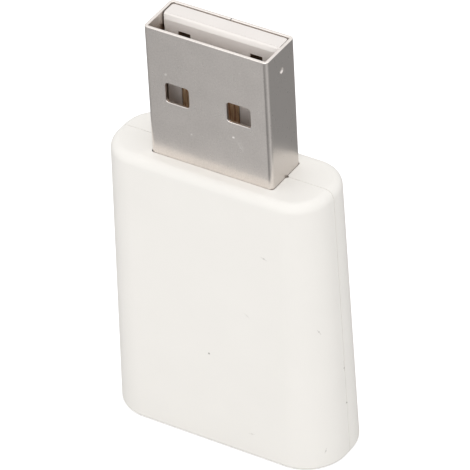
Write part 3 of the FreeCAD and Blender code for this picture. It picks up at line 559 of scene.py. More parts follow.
@dataclass(frozen=True)
class SheetMetal:
    """Rolled and plated sheet with clouds and dots of tone, and a fine grain along the rolling direction.

    Its narrow faces, whose normal has at least the given share of X, are darker by a factor: painted shade
    that stands in for the darker surroundings they mirror.
    """

    name: str
    colour: Colour
    roughness: float = 0.22
    grain: float = 0.06
    stretch: Point = (1.0, 1.0, 14.0)
    relief: float = 0.0002
    tone: float = 0.06
    cloud: float = 2.4
    dot: float = 0.16
    dot_share: float = 0.6
    swing: Pair = (-0.02, 0.03)
    # The duller patches: size, noise range and swing
    patch: float = 0.9
    patch_range: Pair = (0.5, 0.7)
    patch_swing: float = 0.03
    dust: Colour = (0.9, 0.87, 0.83)
    narrow: float = 1.0
    narrow_share: float = 0.8
    zones: tuple[Zone, ...] = ()

    def make(self, marks: list[Mark] | None = None) -> Material:
        """Builds the material.

        Args:
            marks: Pale specks and scratches in the plating.

        Returns:
            The material.
        """
        graph = Graph(bpy.data.materials.new(self.name))
        clouds = graph.swing(graph.noise(self.cloud, detail=4.0), 0.0, 1 - self.dot_share, Contrast.CLEAR)
        dots = graph.swing(graph.noise(self.dot), 0.0, self.dot_share, Contrast.CLEAR)
        colour = graph.vary(graph.math("ADD", clouds, dots), self.colour, self.tone)
        metal = 1.0
        # Painted shade: faces that look along X get a darker base colour
        if self.narrow < 1.0:
            normal = graph.add("TexCoord").outputs["Normal"]
            facing = graph.math("ABSOLUTE", graph.add("SeparateXYZ", {0: normal}).outputs["X"])
            share = graph.span(facing, self.narrow_share, 1.0, 0.0, 1.0)
            colour = graph.mix(share, colour, tint(self.colour, self.narrow))
        for zone in self.zones:
            colour = zone.lay(graph, colour)
        if marks:
            share = graph.strongest(marks)
            colour = graph.mix(share, colour, self.dust)
            metal = graph.math("SUBTRACT", 1.0, share)
        grain = graph.noise(self.grain, 3.0, self.stretch)
        low, high = self.swing
        patches = graph.span(graph.noise(self.patch, detail=4.0), *self.patch_range, 0.0, self.patch_swing)
        rough = graph.math("ADD", graph.swing(grain, self.roughness + low, self.roughness + high), patches)
        relief = graph.bump(grain, self.relief)
        return graph.surface({"Base Color": colour, "Metallic": metal, "Roughness": rough, "Normal": relief})


@dataclass(frozen=True)
class Grained:
    """A surface whose colour, roughness and relief follow one grain.

    Its colours and roughness are those at the grain's low and high ends.
    """

    name: str
    colours: tuple[Colour, Colour]
    roughness: Pair
    grain: float
    relief: float
    detail: float = 3.0
    stretch: Point = (1.0, 1.0, 1.0)
    contrast: Contrast = Contrast.SHARP
    rough_contrast: Contrast = Contrast.SOFT
    metal: float = 0.0
    clear: float = 0.0
    refraction: float = 1.5

    def make(self) -> Material:
        """Builds the material.

        Returns:
            The material.
        """
        graph = Graph(bpy.data.materials.new(self.name))
        grain = graph.noise(self.grain, self.detail, self.stretch)
        return graph.surface({
            "Base Color": graph.mix(graph.swing(grain, 0.0, 1.0, self.contrast), *self.colours),
            "Roughness": graph.swing(grain, *self.roughness, self.rough_contrast),
            "Normal": graph.bump(grain, self.relief), "Metallic": self.metal,
            "Transmission Weight": self.clear, "IOR": self.refraction,
        })


def speckled(name: str, colour: Colour, roughness: Pair, dark: float = 0.8) -> Grained:
    """A chip's speckled ceramic or glaze, with specks that are darker by a factor."""
    return Grained(name, (tint(colour, dark), colour), roughness, grain=0.08, relief=0.003, detail=4.0)


def hazy(name: str, colour: Colour, clear: float, dark: float = 0.95) -> Grained:
    """Plastic that lets the given share of light through, with a faint haze that is darker by a factor."""
    return Grained(name, (tint(colour, dark), colour), roughness=(0.08, 0.18), grain=0.6, relief=0.004,
                   contrast=Contrast.FULL, clear=clear, refraction=1.49)


@dataclass(frozen=True)
class Laminate:
    """Circuit board: glass cloth under solder mask, with copper tracks that show as lighter lines.

    The tracks follow a square net. Each track's full and outer half width are shares of the net's pitch.
    """

    name: str
    colour: Colour
    track_colour: Colour
    pitch: float = 2.0
    track: Pair = (0.04, 0.07)
    weave: float = 0.3
    stretch: Point = (6.0, 1.0, 1.0)
    roughness: Pair = (0.25, 0.4)
    relief: float = 0.01

    def make(self) -> Material:
        """Builds the material.

        Returns:
            The material.
        """
        graph = Graph(bpy.data.materials.new(self.name))
        net = graph.add("TexVoronoi", {
            "Vector": graph.place, "Scale": 1 / (self.pitch * MM), "Randomness": 0.0,
        }, feature="DISTANCE_TO_EDGE", distance="CHEBYCHEV")
        share = graph.span(net.outputs["Distance"], *self.track, 1.0, 0.0)
        weave = graph.noise(self.weave, 2.0, self.stretch)
        return graph.surface({
            "Base Color": graph.mix(share, self.colour, self.track_colour),
            "Roughness": graph.swing(weave, *self.roughness),
            "Normal": graph.bump(graph.math("ADD", share, weave), self.relief),
        })


# The fitted camera, which also places what the photograph shows on the surfaces
@dataclass
class ProductCamera:
    """The photograph's viewpoint: a pinhole at a distance from a point on the stick's axis.

    Lengths are in millimetres and angles in degrees.
    """

    frame_px: int = 470
    focal_px: float = 5246.08
    distance: float = 439.402
    aim_height: float = 30.0
    yaw: float = 33.420
    pitch: float = 36.698
    roll: float = 3.207
    aim_px: Pair = (224.323, 134.480)
    sensor: float = 36.0
    # Nearest and farthest that it shows, in metres
    clip: Pair = (0.01, 10.0)

    def axes(self) -> Array:
        """Works out the camera's directions.

        Forward is (-sin yaw cos pitch, cos yaw cos pitch, -sin pitch). Right and down stand square to it,
        turned by the roll from the level direction (cos yaw, sin yaw, 0).

        Returns:
            The right, down and forward directions, as rows.
        """
        yaw, pitch, roll = (math.radians(angle) for angle in (self.yaw, self.pitch, self.roll))
        level = np.array([math.cos(yaw), math.sin(yaw), 0.0])
        ahead = np.array([-math.sin(yaw), math.cos(yaw), 0.0])
        forward = math.cos(pitch) * ahead - (0.0, 0.0, math.sin(pitch))
        down = np.cross(forward, level)
        right = math.cos(roll) * level + math.sin(roll) * down
        return np.stack([right, math.cos(roll) * down - math.sin(roll) * level, forward])

    def place(self) -> Array:
        """The pinhole's place in millimetres, from which the aim stands at its pixel."""
        shift = (np.array(self.aim_px) - self.frame_px / 2) * self.distance / self.focal_px
        return np.array([0, 0, self.aim_height]) - self.axes().T @ np.array([*shift, self.distance])

    def ray(self, across: float, down: float) -> tuple[Vector, Vector]:
        """Start, in metres, and direction of the line through a pixel of the photograph."""
        way = self.axes().T @ np.array([across - self.frame_px / 2, down - self.frame_px / 2, self.focal_px])
        return Vector(self.place() * MM), Vector(way / np.linalg.norm(way))

    def build(self) -> None:
        """Makes the scene's camera."""
        data = bpy.data.cameras.new("product_camera")
        data.sensor_width = self.sensor
        data.lens = self.focal_px * self.sensor / self.frame_px
        data.clip_start, data.clip_end = self.clip
        right, down, forward = self.axes()
        turn = np.eye(4)
        turn[:3, :3] = np.stack([right, -down, -forward], axis=1)
        turn[:3, 3] = self.place() * MM
        camera = new_object("product_camera", data)
        camera.matrix_world = Matrix(turn.tolist())
        bpy.context.scene.camera = camera


# Housing
@dataclass
class HousingShell:
    """One moulded half of the tapered housing, from the seam's plane to its wide face.

    Depth is measured from the seam's plane into the half. The outside is a fixed rectangle grown by a radius,
    which is the corners' radius and falls with height by the draft.
    """

    name: str
    node: str
    side: Side
    height: float = 27.7
    base_width: float = 22.25
    base_thickness: float = 8.9
    corner: float = 3.9
    draft: float = 1.21
    top_round: float = 0.9
    top_steps: int = 16
    base_round: float = 0.3
    base_steps: int = 6
    side_wall: float = 1.2
    end_wall: float = 1.5
    # The square gap along the seam: its depth, and its width in each half
    groove: float = 0.05
    gap: float = 0.02
    # The rear half's lip: its thickness, height, room in the front half and how far it runs into its own half
    lip: float = 0.48
    lip_height: float = 0.6
    lip_room: float = 0.07
    lip_root: float = 0.02
    # The plug's opening, with a round notch at each end of the seam
    plug_half: Pair = (6.03, 2.28)
    mouth_corner: float = 0.32
    mouth_steps: int = 8
    notch: float = 0.18
    notch_steps: int = 6
    # How far a form inside runs into the wall, and a pin or a peg into what carries it
    bite: float = 0.3
    root: float = 0.1
    boss: float = 1.3
    boss_places: tuple[Pair, ...] = ((-8.348, 3.65), (7.917, 24.05))
    pin: float = 0.7
    pin_length: float = 1.9
    pin_room: float = 0.05
    pin_chamfer: float = 0.2
    post_heights: Pair = (6.35, 17.45)
    post_across: float = 7.91
    # Half width of each half's posts, and the depth where they meet the board
    front_post: Pair = (0.85, -0.33)
    rear_post: Pair = (0.95, 1.33)
    peg: float = 0.5
    peg_end: float = 0.43
    # What the plug lies on and what stops it: half width, foot and top, and how far the stop reaches inwards
    saddle: Point = (4.5, 23.25, 24.05)
    ledge: Point = (3.0, 20.9, 21.7)
    ledge_reach: float = 0.38
    # The light guide's hole: its height, radius, softened edge, the flange's radius and the shoulder's depth
    guide: float = 18.0
    guide_hole: float = 1.03
    guide_soft: float = 0.05
    guide_seat: float = 1.48
    guide_shoulder: float = 3.32
    pinhole: float = 10.5
    pinhole_radius: float = 0.6
    pinhole_chamfer: float = 0.2
    front: bool = field(init=False)
    slope: float = field(init=False)
    core: Pair = field(init=False)
    ceiling: float = field(init=False)
    step: float = field(init=False)
    notch_points: int = field(init=False)
    skin: Skin = field(init=False)

    def __post_init__(self) -> None:
        """Works out what follows from the driving sizes."""
        self.front = self.side is Side.FRONT
        self.slope = math.tan(math.radians(self.draft))
        self.core = (self.base_width / 2 - self.corner, self.base_thickness / 2 - self.corner)
        self.ceiling = self.height - self.end_wall
        self.step = self.lip_height + self.lip_room
        # The notch's arc and the point on the seam's plane before it
        self.notch_points = self.notch_steps + 2
        self.skin = Skin(self.name)

    def flat_depth(self, height: float | Array, wall: float = 0.0) -> float | Array:
        """Depth of the wide face at a height, or of the cavity's with the wall's thickness."""
        return self.base_thickness / 2 - self.slope * height - wall

    def in_wall(self, height: float) -> float:
        """Depth to which a form inside runs, a bite into the wide wall."""
        return self.flat_depth(height, self.side_wall) + self.bite

    def profile(self, inset: float) -> Array:
        """Corner radius and height along the outside, from the foot's flat to the top's.

        Two arcs, centred a radius inside the drafted wall and inside the end planes, are joined by the wall.

        Args:
            inset: How far the profile is moved inwards.

        Returns:
            Radius and height of each row.
        """
        rows = []
        for radius, level, start, stop, steps in (
            (self.base_round, self.base_round, -90, self.draft, self.base_steps),
            (self.top_round, self.height - self.top_round, self.draft, 90, self.top_steps),
        ):
            centre = self.corner - self.slope * level - radius * math.hypot(1, self.slope)
            turn = arc(start, stop, steps)
            reach = radius - inset
            rows.append(np.column_stack([centre + reach * np.cos(turn), level + reach * np.sin(turn)]))
        return np.concatenate(rows)

    def outline(self, radius: Array, start: float, first: float = 180.0) -> Array:
        """Half outline at each radius, from the -X side round the wide face to the +X side.

        A point is (core + radius cos a, core + radius sin a) on the corners. The wide face has a middle
        point.

        Args:
            radius: The corners' radius in each row.
            start: Depth of an extra point on the narrow side, at each end.
            first: Angle in degrees at which the corner starts.

        Returns:
            Across and depth, in an array of shape (rows, columns, 2).
        """
        turn = arc(first, 90, HALF_TURN)
        radius = np.asarray(radius, float)[:, None]
        corner = np.stack([
            radius * np.cos(turn) - self.core[0], radius * np.sin(turn) + self.core[1],
        ], axis=-1)
        edge = np.stack([-self.core[0] - radius, 0 * radius + start], axis=-1)
        middle = np.stack([0 * radius, self.core[1] + radius], axis=-1)
        left = np.concatenate([edge, corner], axis=1) if first == 180.0 else corner
        return np.concatenate([left, middle, left[:, ::-1] * (-1, 1)], axis=1)

    def opening(self) -> Array:
        """Half outline of the plug's opening.

        The notch turns about the opening's end in the seam's plane, from the gap's depth, and the corner
        about the point that lies its radius inside both walls. The right side is the left one's mirror
        image.

        Returns:
            Across and depth of each point, from -X to +X.
        """
        wide, deep = self.plug_half
        start = 180 - math.degrees(math.asin(self.gap / self.notch))
        notch = arc(start, 90, self.notch_steps)
        bend = arc(180, 90, self.mouth_steps)
        left = np.concatenate([
            [(-wide - self.notch, 0.0)],
            np.column_stack([self.notch * np.cos(notch) - wide, self.notch * np.sin(notch)]),
            [(-wide, self.step)],
            np.column_stack([
                self.mouth_corner * (np.cos(bend) + 1) - wide, deep + self.mouth_corner * (np.sin(bend) - 1),
            ]),
        ])
        return np.concatenate([left, left[::-1] * (-1, 1)])

    def parting(self, margin: float) -> Array:
        """The cavity's outline in the seam's plane, grown by a margin.

        Args:
            margin: How far the outline lies outside the cavity.

        Returns:
            Across and height of its corners, from the top left by the foot to the top right.
        """
        low, high = self.end_wall - margin, self.ceiling + margin
        wide = self.base_width / 2 - self.side_wall + margin
        top, foot = wide - self.slope * high, wide - self.slope * low
        return np.array([(-top, high), (-foot, low), (foot, low), (top, high)])

    def left_open(self, grid: Array, row: int) -> tuple[tuple[int, int], ...]:
        """The two quads of the wide face in a grid's row, which the rear half's holed faces stand in for."""
        middle = grid.shape[1] // 2
        return () if self.front else ((row, middle - 1), (row, middle))

    def holed(self, low: float, high: float, wall: float, holes: list[Pair]) -> None:
        """Two flat faces of the wide wall, left and right of the middle, that leave round holes between them.

        Args:
            low: The faces' foot.
            high: The faces' top.
            wall: The wall's thickness, or zero on the outside.
            holes: Height and radius of each hole, from the lowest.
        """
        turn = arc(-90, 90, HALF_TURN)
        for hand in (-1, 1):
            loop = [(hand * self.core[0], low), (0.0, low)]
            for height, radius in holes:
                loop += list(zip(hand * radius * np.cos(turn), height + radius * np.sin(turn)))
            loop = np.array(loop + [(0.0, high), (hand * self.core[0], high)])
            self.skin.face(upright(loop, self.flat_depth(loop[:, 1], wall)))

    def bore(self, height: float, rows: list[Pair]) -> None:
        """A round hole through the wide wall.

        Args:
            height: The hole's height.
            rows: Radius and depth of each ring, or radius and minus or plus infinity for a ring in the inner
                or outer face.
        """
        rings = []
        for radius, depth in rows:
            ring = turned([(radius, 0.0)], 0.0, height)[0]
            if math.isinf(depth):
                depth = self.flat_depth(ring[:, 2], self.side_wall if depth < 0 else 0.0)
            ring[:, 1] = depth
            rings.append(ring)
        self.skin.grid(rings, closed=True)

    def rear_holes(self, low: float, high: float) -> None:
        """The light guide's stepped hole and the chamfered pinhole, with the faces that they pass through.

        Args:
            low: Foot of the drafted wall outside.
            high: Its top.
        """
        hole, mouth, seat = self.guide_hole, self.guide_hole + self.guide_soft, self.guide_seat
        pin, wide = self.pinhole_radius, self.pinhole_radius + self.pinhole_chamfer
        self.holed(low, high, 0.0, [(self.pinhole, wide), (self.guide, mouth)])
        self.holed(self.end_wall, self.ceiling, self.side_wall, [(self.pinhole, pin), (self.guide, seat)])
        self.bore(self.guide, [
            (mouth, math.inf), (hole, self.flat_depth(self.guide) - 2 * self.guide_soft),
            (hole, self.guide_shoulder), (seat, self.guide_shoulder), (seat, -math.inf),
        ])
        chamfered = self.flat_depth(self.pinhole) - self.pinhole_chamfer
        self.bore(self.pinhole, [(wide, math.inf), (pin, chamfered), (pin, -math.inf)])

    def outside(self) -> None:
        """The drafted outside with its rounds, the flat foot and top, and the fine gap along the seam."""
        rows, inner = self.profile(0.0), self.profile(self.groove)
        sides = at(self.outline(rows[:, 0], self.gap), rows[:, 1:])
        seam = np.stack([-self.core[0] - inner[:, 0], 0 * inner[:, 0], inner[:, 1]], axis=-1)
        floor = np.stack([seam, seam + (0, self.gap, 0)], axis=1)
        whole = np.concatenate([floor, sides, floor[:, ::-1] * (-1, 1, 1)], axis=1)
        self.skin.grid(whole, skip=self.left_open(whole, self.base_steps))
        opening = self.opening()
        self.skin.face(sides[0])
        self.skin.grid([[point, point * (-1, 1, 1)] for point in (sides[0, 0], floor[0, 1], seam[0])])
        self.skin.face(np.concatenate([sides[-1], at(opening[-2:0:-1], self.height)]))
        bottom = self.height - self.groove
        for hand in (-1, 1):
            mouth = at(opening[[1, 1, 0]] * (-hand, 1), [self.height, bottom, bottom])
            self.skin.grid([mouth, np.stack([sides[-1, 0], floor[-1, 1], seam[-1]]) * (-hand, 1, 1)])
        if not self.front:
            self.rear_holes(*rows[self.base_steps:self.base_steps + 2, 1])
        self.parting_face(seam, opening)

    def parting_face(self, seam: Array, opening: Array) -> None:
        """The face at the seam, stepped for the other half's lip on the front, and the wall of the opening.

        Args:
            seam: The seam's points on the -X side, from the foot.
            opening: The opening's half outline.
        """
        edge = self.plug_half[0] + self.notch
        inner = self.parting(self.lip + self.lip_room if self.front else 0.0)
        roof = inner[0, 1]
        outer = seam[::-1, [0, 2]]
        top = self.height - self.groove
        self.skin.face(upright(np.concatenate([
            [(-edge, top)], outer, outer[::-1] * (-1, 1), [(edge, top), (edge, roof)], inner[::-1],
            [(-edge, roof)],
        ]), 0.0))
        self.skin.grid([at(opening[1:-1], level) for level in (self.height, top)])
        if not self.front:
            self.skin.grid([at(opening, level) for level in (top, self.ceiling)])
            return
        notch = self.notch_points
        last = len(opening) - notch
        for part in (slice(0, notch + 1), slice(last - 1, None)):
            self.skin.grid([at(opening[part], level) for level in (top, roof)])
        self.skin.grid([at(opening[notch:last], level) for level in (top, roof, self.ceiling)])
        self.skin.grid([upright(inner, depth) for depth in (0.0, self.step)])
        for hand in (-1, 1):
            shelf = [(-inner[0, 0] * hand, self.step), (-inner[0, 0] * hand, 0.0)]
            self.skin.face(at(np.concatenate([opening[:notch + 1] * (-hand, 1), shelf]), roof))

    def inside(self) -> None:
        """The drafted cavity with its flat floor and ceiling, and the bottom of the step on the front."""
        levels = np.array([self.end_wall, self.ceiling])
        radius = self.corner - self.side_wall - self.slope * levels
        if self.front:
            starts = 180 - np.degrees(np.arcsin((self.step - self.core[1]) / radius))
            flat = np.stack([self.outline(radius[[n]], 0.0, starts[n])[0] for n in range(2)])
        else:
            flat = self.outline(radius, 0.0)
        walls = at(flat, levels[:, None])
        self.skin.grid(walls, skip=self.left_open(walls, 0))
        self.skin.face(walls[0])
        opening = self.opening()
        if self.front:
            opening = opening[self.notch_points:-self.notch_points]
            inner = self.parting(self.lip + self.lip_room)
            wide = self.plug_half[0]
            left, right = walls[:, 0][:, [0, 2]], walls[:, -1][:, [0, 2]]
            self.skin.face(upright(np.concatenate([
                [(-wide, inner[0, 1])], inner, [(wide, inner[0, 1]), (wide, self.ceiling)],
                right[::-1], left, [(-wide, self.ceiling)],
            ]), self.step))
        self.skin.face(np.concatenate([walls[1], at(opening[::-1], self.ceiling)]))

    def seats(self) -> None:
        """The bosses, posts, saddle and ledge, each run a little way into the wall."""
        hole, deep = self.pin + self.pin_room, self.pin_length + 2 * self.pin_room
        for across, height in self.boss_places:
            wall = self.in_wall(height)
            socket = [(0, 0)] if self.front else [(0, deep), (hole, deep), (hole, 0)]
            self.skin.ring([*socket, (self.boss, 0), (self.boss, wall), (0, wall)], across, height)
        half, near = self.front_post if self.front else self.rear_post
        for height in self.post_heights:
            for middle in (-self.post_across, self.post_across):
                across, up = (middle - half, middle + half), (height - half, height + half)
                self.skin.block(across, (near, self.in_wall(height)), up)
        deep = self.plug_half[1]
        for (wide, low, high), near in ((self.saddle, deep), (self.ledge, deep - self.ledge_reach)):
            self.skin.block((-wide, wide), (near, self.in_wall(high)), (low, high))

    def joints(self) -> None:
        """The front half's pins, or the rear half's pegs and its lip, which stand past the seam's plane."""
        if self.front:
            pin, root, end, soft = self.pin, self.root, -self.pin_length, self.pin_chamfer
            profile = [(0, root), (pin, root), (pin, end + soft), (pin - soft, end), (0, end)]
            for place in self.boss_places:
                self.skin.ring(profile, *place)
            return
        start = self.rear_post[1] + self.root
        for across in (-self.post_across, self.post_across):
            profile = [(0, start), (self.peg, start), (self.peg, self.peg_end), (0, self.peg_end)]
            self.skin.ring(profile, across, self.post_heights[1])
        outer, inner = self.parting(self.lip), self.parting(self.lip_root)
        wide = self.plug_half[0] + self.lip_root
        loop = np.concatenate([
            [(-wide, outer[0, 1])], outer, [(wide, outer[0, 1]), (wide, inner[0, 1])], inner[::-1],
            [(-wide, inner[0, 1])],
        ])
        self.skin.prism([upright(loop, depth) for depth in (-self.lip_height, self.lip_root)])

    def build(self, material: Material) -> Object:
        """Builds and dresses the half.

        Args:
            material: The housing's plastic.

        Returns:
            The half's object.
        """
        self.outside()
        self.inside()
        self.seats()
        self.joints()
        self.skin.points = [points * (1, self.side.value, 1) for points in self.skin.points]
        piece = self.skin.build()
        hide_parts(self.node)
        dress(piece, material)
        return piece


# Plug
class Face(Enum):
    """The sleeve's four flat faces, by the direction that each looks in."""

    FRONT = (0, -1)
    REAR = (0, 1)
    RIGHT = (1, 0)
    LEFT = (-1, 0)


@dataclass
class PlugSleeve:
    """The plug's folded sheet: four flat faces, four bends, two windows in each wide face and a locked seam.

    Depth is measured from the outside into the sheet. The sheet's edges have a small round.
    """

    half_width: float = 6.0
    half_depth: float = 2.25
    foot: float = 21.75
    tip: float = 40.5
    sheet: float = 0.3
    bend: float = 0.42
    bend_steps: int = 10
    edge: float = 0.06
    edge_steps: int = 4
    # The windows: half width, half height and corner
    window: Point = (1.15, 0.975, 0.28)
    window_steps: int = 6
    window_places: Pair = (-3.0, 3.0)
    window_middle: float = 34.375
    seam_gap: float = 0.08
    # The dovetail: height, half height at its neck, half height at its head and reach
    lock: tuple[float, float, float, float] = (31.3, 0.5, 0.8, 1.2)
    # The dimple: height, its ball's radius, depth, the flat ring round it and the first ring's step inwards
    dimple: Point = (38.5, 0.35, 0.15)
    dimple_flat: float = 0.02
    dimple_start: float = 0.01
    dimple_rows: int = 9
    # A solder leg: its front and back, its foot and its corners' chamfer
    leg: tuple[float, float, float, float] = (0.03, 1.63, 18.75, 0.35)
    flat: Pair = field(init=False)
    skin: Skin = field(init=False)

    def __post_init__(self) -> None:
        """Works out the flat faces' half widths."""
        self.flat = (self.half_width - self.bend, self.half_depth - self.bend)
        self.skin = Skin("plug_sleeve")

    def round_edge(self, level: float, up: int) -> Array:
        """Depth and height across the sheet's rounded edge, from the outside to the inside.

        It is a quarter turn, centred its radius inside the face and the level, and the turn's mirror image in
        the sheet's middle.

        Args:
            level: Height of the edge.
            up: 1 for the upper edge, -1 for the lower one.

        Returns:
            Depth and height of each row.
        """
        turn = arc(180, 90, self.edge_steps)
        outer = np.column_stack([self.edge * (1 + np.cos(turn)), level - up * self.edge * (1 - np.sin(turn))])
        return np.concatenate([outer, outer[::-1] * (-1, 1) + (self.sheet, 0)])

    def ends(self) -> list[Array]:
        """The rounded edges at the tip and at the foot."""
        return [self.round_edge(self.tip, 1), self.round_edge(self.foot, -1)]

    def place(self, face: Face, along: Array, depth: Array | float, height: Array) -> Array:
        """Finds points on a face.

        Args:
            face: The face.
            along: Their places along it.
            depth: Their depths.
            height: Their heights.

        Returns:
            The points, in the layout that the three arrays share.
        """
        along, depth, height = np.broadcast_arrays(along, depth, height)
        across, back = face.value
        x = across * (self.half_width - depth) if across else along
        y = back * (self.half_depth - depth) if back else along
        return np.stack([x, y, height], axis=-1)

    def both(self, face: Face, loop: Array) -> list[Array]:
        """A loop of along and height on a face's outside and on its inside."""
        return [self.place(face, loop[:, 0], depth, loop[:, 1]) for depth in (0.0, self.sheet)]

    def bends(self) -> None:
        """The four bends: the sheet's closed section carried round each corner.

        A point at an angle a is (flat + r cos a, flat + r sin a), with r the bend less the section's depth.
        """
        upper, lower = self.ends()
        middle = self.window_middle
        section = np.concatenate([[(0, middle)], upper, [(self.sheet, middle)], lower[::-1], [(0, middle)]])
        reach = (self.bend - section[:, 0])[:, None]
        turn = arc(0, 90, self.bend_steps)
        for across in (-1, 1):
            for back in (-1, 1):
                x = across * (self.flat[0] + reach * np.cos(turn))
                y = back * (self.flat[1] + reach * np.sin(turn))
                self.skin.grid(np.stack([x, y, np.broadcast_to(section[:, 1:], x.shape)], axis=-1))

    def rims(self, face: Face, stops: list[float]) -> None:
        """A face's upper and lower edges, between the given places along it."""
        for rows in self.ends():
            self.skin.grid(self.place(face, np.array(stops)[None], rows[:, :1], rows[:, 1:]))

    def window_loop(self, middle: float, grow: float) -> tuple[Array, Array]:
        """A window's upper and lower halves, each from -X to +X: along and height.

        A corner is a quarter turn about the point that lies its radius inside both sides.

        Args:
            middle: The window's middle along the face.
            grow: How far the loop lies outside the window.

        Returns:
            The two halves.
        """
        wide, high, corner = (part + grow for part in self.window)
        turn = arc(180, 90, self.window_steps)
        left = np.column_stack([corner * (1 + np.cos(turn)) - wide, high - corner * (1 - np.sin(turn))])
        upper = np.concatenate([[(-wide, 0)], left, left[::-1] * (-1, 1), [(wide, 0)]])
        start = np.array([middle, self.window_middle])
        return upper + start, upper * (1, -1) + start

    def windows(self, face: Face) -> None:
        """The walls of a face's two windows, with rounded edges outside and inside.

        Args:
            face: The face.
        """
        for middle in self.window_places:
            rings = []
            for depth, drop in self.round_edge(0.0, 1):
                upper, lower = self.window_loop(middle, -drop)
                loop = np.concatenate([upper, lower[-2:0:-1]])
                rings.append(self.place(face, loop[:, 0], depth, loop[:, 1]))
            self.skin.grid(rings, closed=True)

    def panel(self, face: Face, left: Array, right: Array, windows: list[float]) -> None:
        """A wide face or a part of it, as two flat faces outside and two inside, split through the windows.

        Args:
            face: The face.
            left: Its left edge, along and height, from the tip down to the foot.
            right: Its right edge, in the same order.
            windows: Middles of the windows in it.
        """
        split = self.window_middle
        for part in (0, 1):
            edges = []
            for edge in (left, right):
                chosen = edge[edge[:, 1] > split] if part == 0 else edge[edge[:, 1] < split][::-1]
                edges.append(np.concatenate([chosen, edge[edge[:, 1] == split]]))
            holes = [self.window_loop(middle, self.edge)[part] for middle in windows]
            for loop in self.both(face, np.concatenate([edges[0], *holes, edges[1][::-1]])):
                self.skin.face(loop)

    def side_edge(self, along: float) -> Array:
        """A straight edge of a face from the tip to the foot."""
        heights = [self.tip - self.edge, self.window_middle, self.foot + self.edge]
        return np.array([(along, height) for height in heights])

    def seam_edge(self, hand: int) -> Array:
        """One edge of the fold's seam with its dovetail, from the tip to the foot.

        Args:
            hand: -1 for the left edge, whose dovetail stands out, or 1 for the right one, which leaves room.

        Returns:
            Along and height of each point.
        """
        middle, neck, head, reach = self.lock
        start = hand * self.seam_gap / 2
        room = self.seam_gap * (hand > 0)
        path = self.side_edge(start)
        lock = [
            (start, middle + neck + room), (start + reach, middle + head + room),
            (start + reach, middle - head - room), (start, middle - neck - room),
        ]
        return np.concatenate([path[:2], lock, path[2:]])

    def narrow_faces(self) -> None:
        """The left face, and the right face with the small stamped dimple."""
        high, low, middle = self.tip - self.edge, self.foot + self.edge, self.window_middle
        end = self.flat[1]
        self.rims(Face.LEFT, [-end, end])
        self.rims(Face.RIGHT, [-end, 0.0, end])
        ring = np.array([(-end, low), (end, low), (end, middle), (end, high), (-end, high), (-end, middle)])
        for loop in self.both(Face.LEFT, ring):
            self.skin.face(loop)
        # The inside meets the edges' middle points too
        ring = np.insert(ring, [1, 4], [(0.0, low), (0.0, high)], axis=0)
        self.skin.face(self.both(Face.RIGHT, ring)[1])
        self.stamped(high, low)

    def stamped(self, high: float, low: float) -> None:
        """The right face's outside, with a ball's cap pressed into it.

        At a distance r from its middle it is sqrt(R^2 - r^2) - (R - depth) deep, with R the ball's radius.

        Args:
            high: Top of the flat face.
            low: Its foot.
        """
        end = self.flat[1]
        spot, radius, sink = self.dimple
        rim = math.sqrt(radius ** 2 - (radius - sink) ** 2)
        start = rim + self.dimple_flat
        turn = arc(-90, 90, HALF_TURN)
        for hand in (-1, 1):
            bow = np.column_stack([hand * start * np.cos(turn), spot + start * np.sin(turn)])
            loop = np.concatenate([
                [(hand * end, low), (0.0, low)], bow,
                [(0.0, high), (hand * end, high), (hand * end, self.window_middle)],
            ])
            self.skin.face(self.both(Face.RIGHT, loop)[0])
        reach = np.concatenate([[start], np.linspace(rim - self.dimple_start, 0.0, self.dimple_rows)])
        depth = np.maximum(np.sqrt(radius ** 2 - np.minimum(reach, rim) ** 2) - (radius - sink), 0.0)
        angle = arc(-90, 270, 2 * HALF_TURN)[:-1]
        along, up = reach[:, None] * np.cos(angle), reach[:, None] * np.sin(angle)
        self.skin.grid(self.place(Face.RIGHT, along, depth[:, None], spot + up), closed=True)

    def wide_faces(self) -> None:
        """The front face, and the rear face in two parts on either side of the fold's seam."""
        end = self.flat[0]
        self.rims(Face.FRONT, [-end, end])
        self.windows(Face.FRONT)
        self.windows(Face.REAR)
        self.panel(Face.FRONT, self.side_edge(-end), self.side_edge(end), list(self.window_places))
        left, right = self.seam_edge(-1), self.seam_edge(1)
        self.rims(Face.REAR, [-end, left[0, 0]])
        self.rims(Face.REAR, [right[0, 0], end])
        self.panel(Face.REAR, self.side_edge(-end), left, [self.window_places[0]])
        self.panel(Face.REAR, right, self.side_edge(end), [self.window_places[1]])
        for path in (left, right):
            self.skin.grid(self.both(Face.REAR, path))
            for section in self.ends():
                self.skin.face(self.place(Face.REAR, path[0, 0], section[:, 0], section[:, 1]))

    def legs(self) -> None:
        """The two solder legs, which run up a little way inside the sheet."""
        front, back, low, chamfer = self.leg
        high = self.foot + 2 * self.edge
        loop = np.array([
            (front, high), (front, low + chamfer), (front + chamfer, low),
            (back - chamfer, low), (back, low + chamfer), (back, high),
        ])
        for face in (Face.LEFT, Face.RIGHT):
            self.skin.prism(self.both(face, loop))

    def build(self, material: Material) -> None:
        """Builds and dresses the sleeve.

        Args:
            material: The sleeve's steel.
        """
        self.bends()
        self.wide_faces()
        self.narrow_faces()
        self.legs()
        piece = self.skin.build()
        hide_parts("usb_shell")
        dress(piece, material)


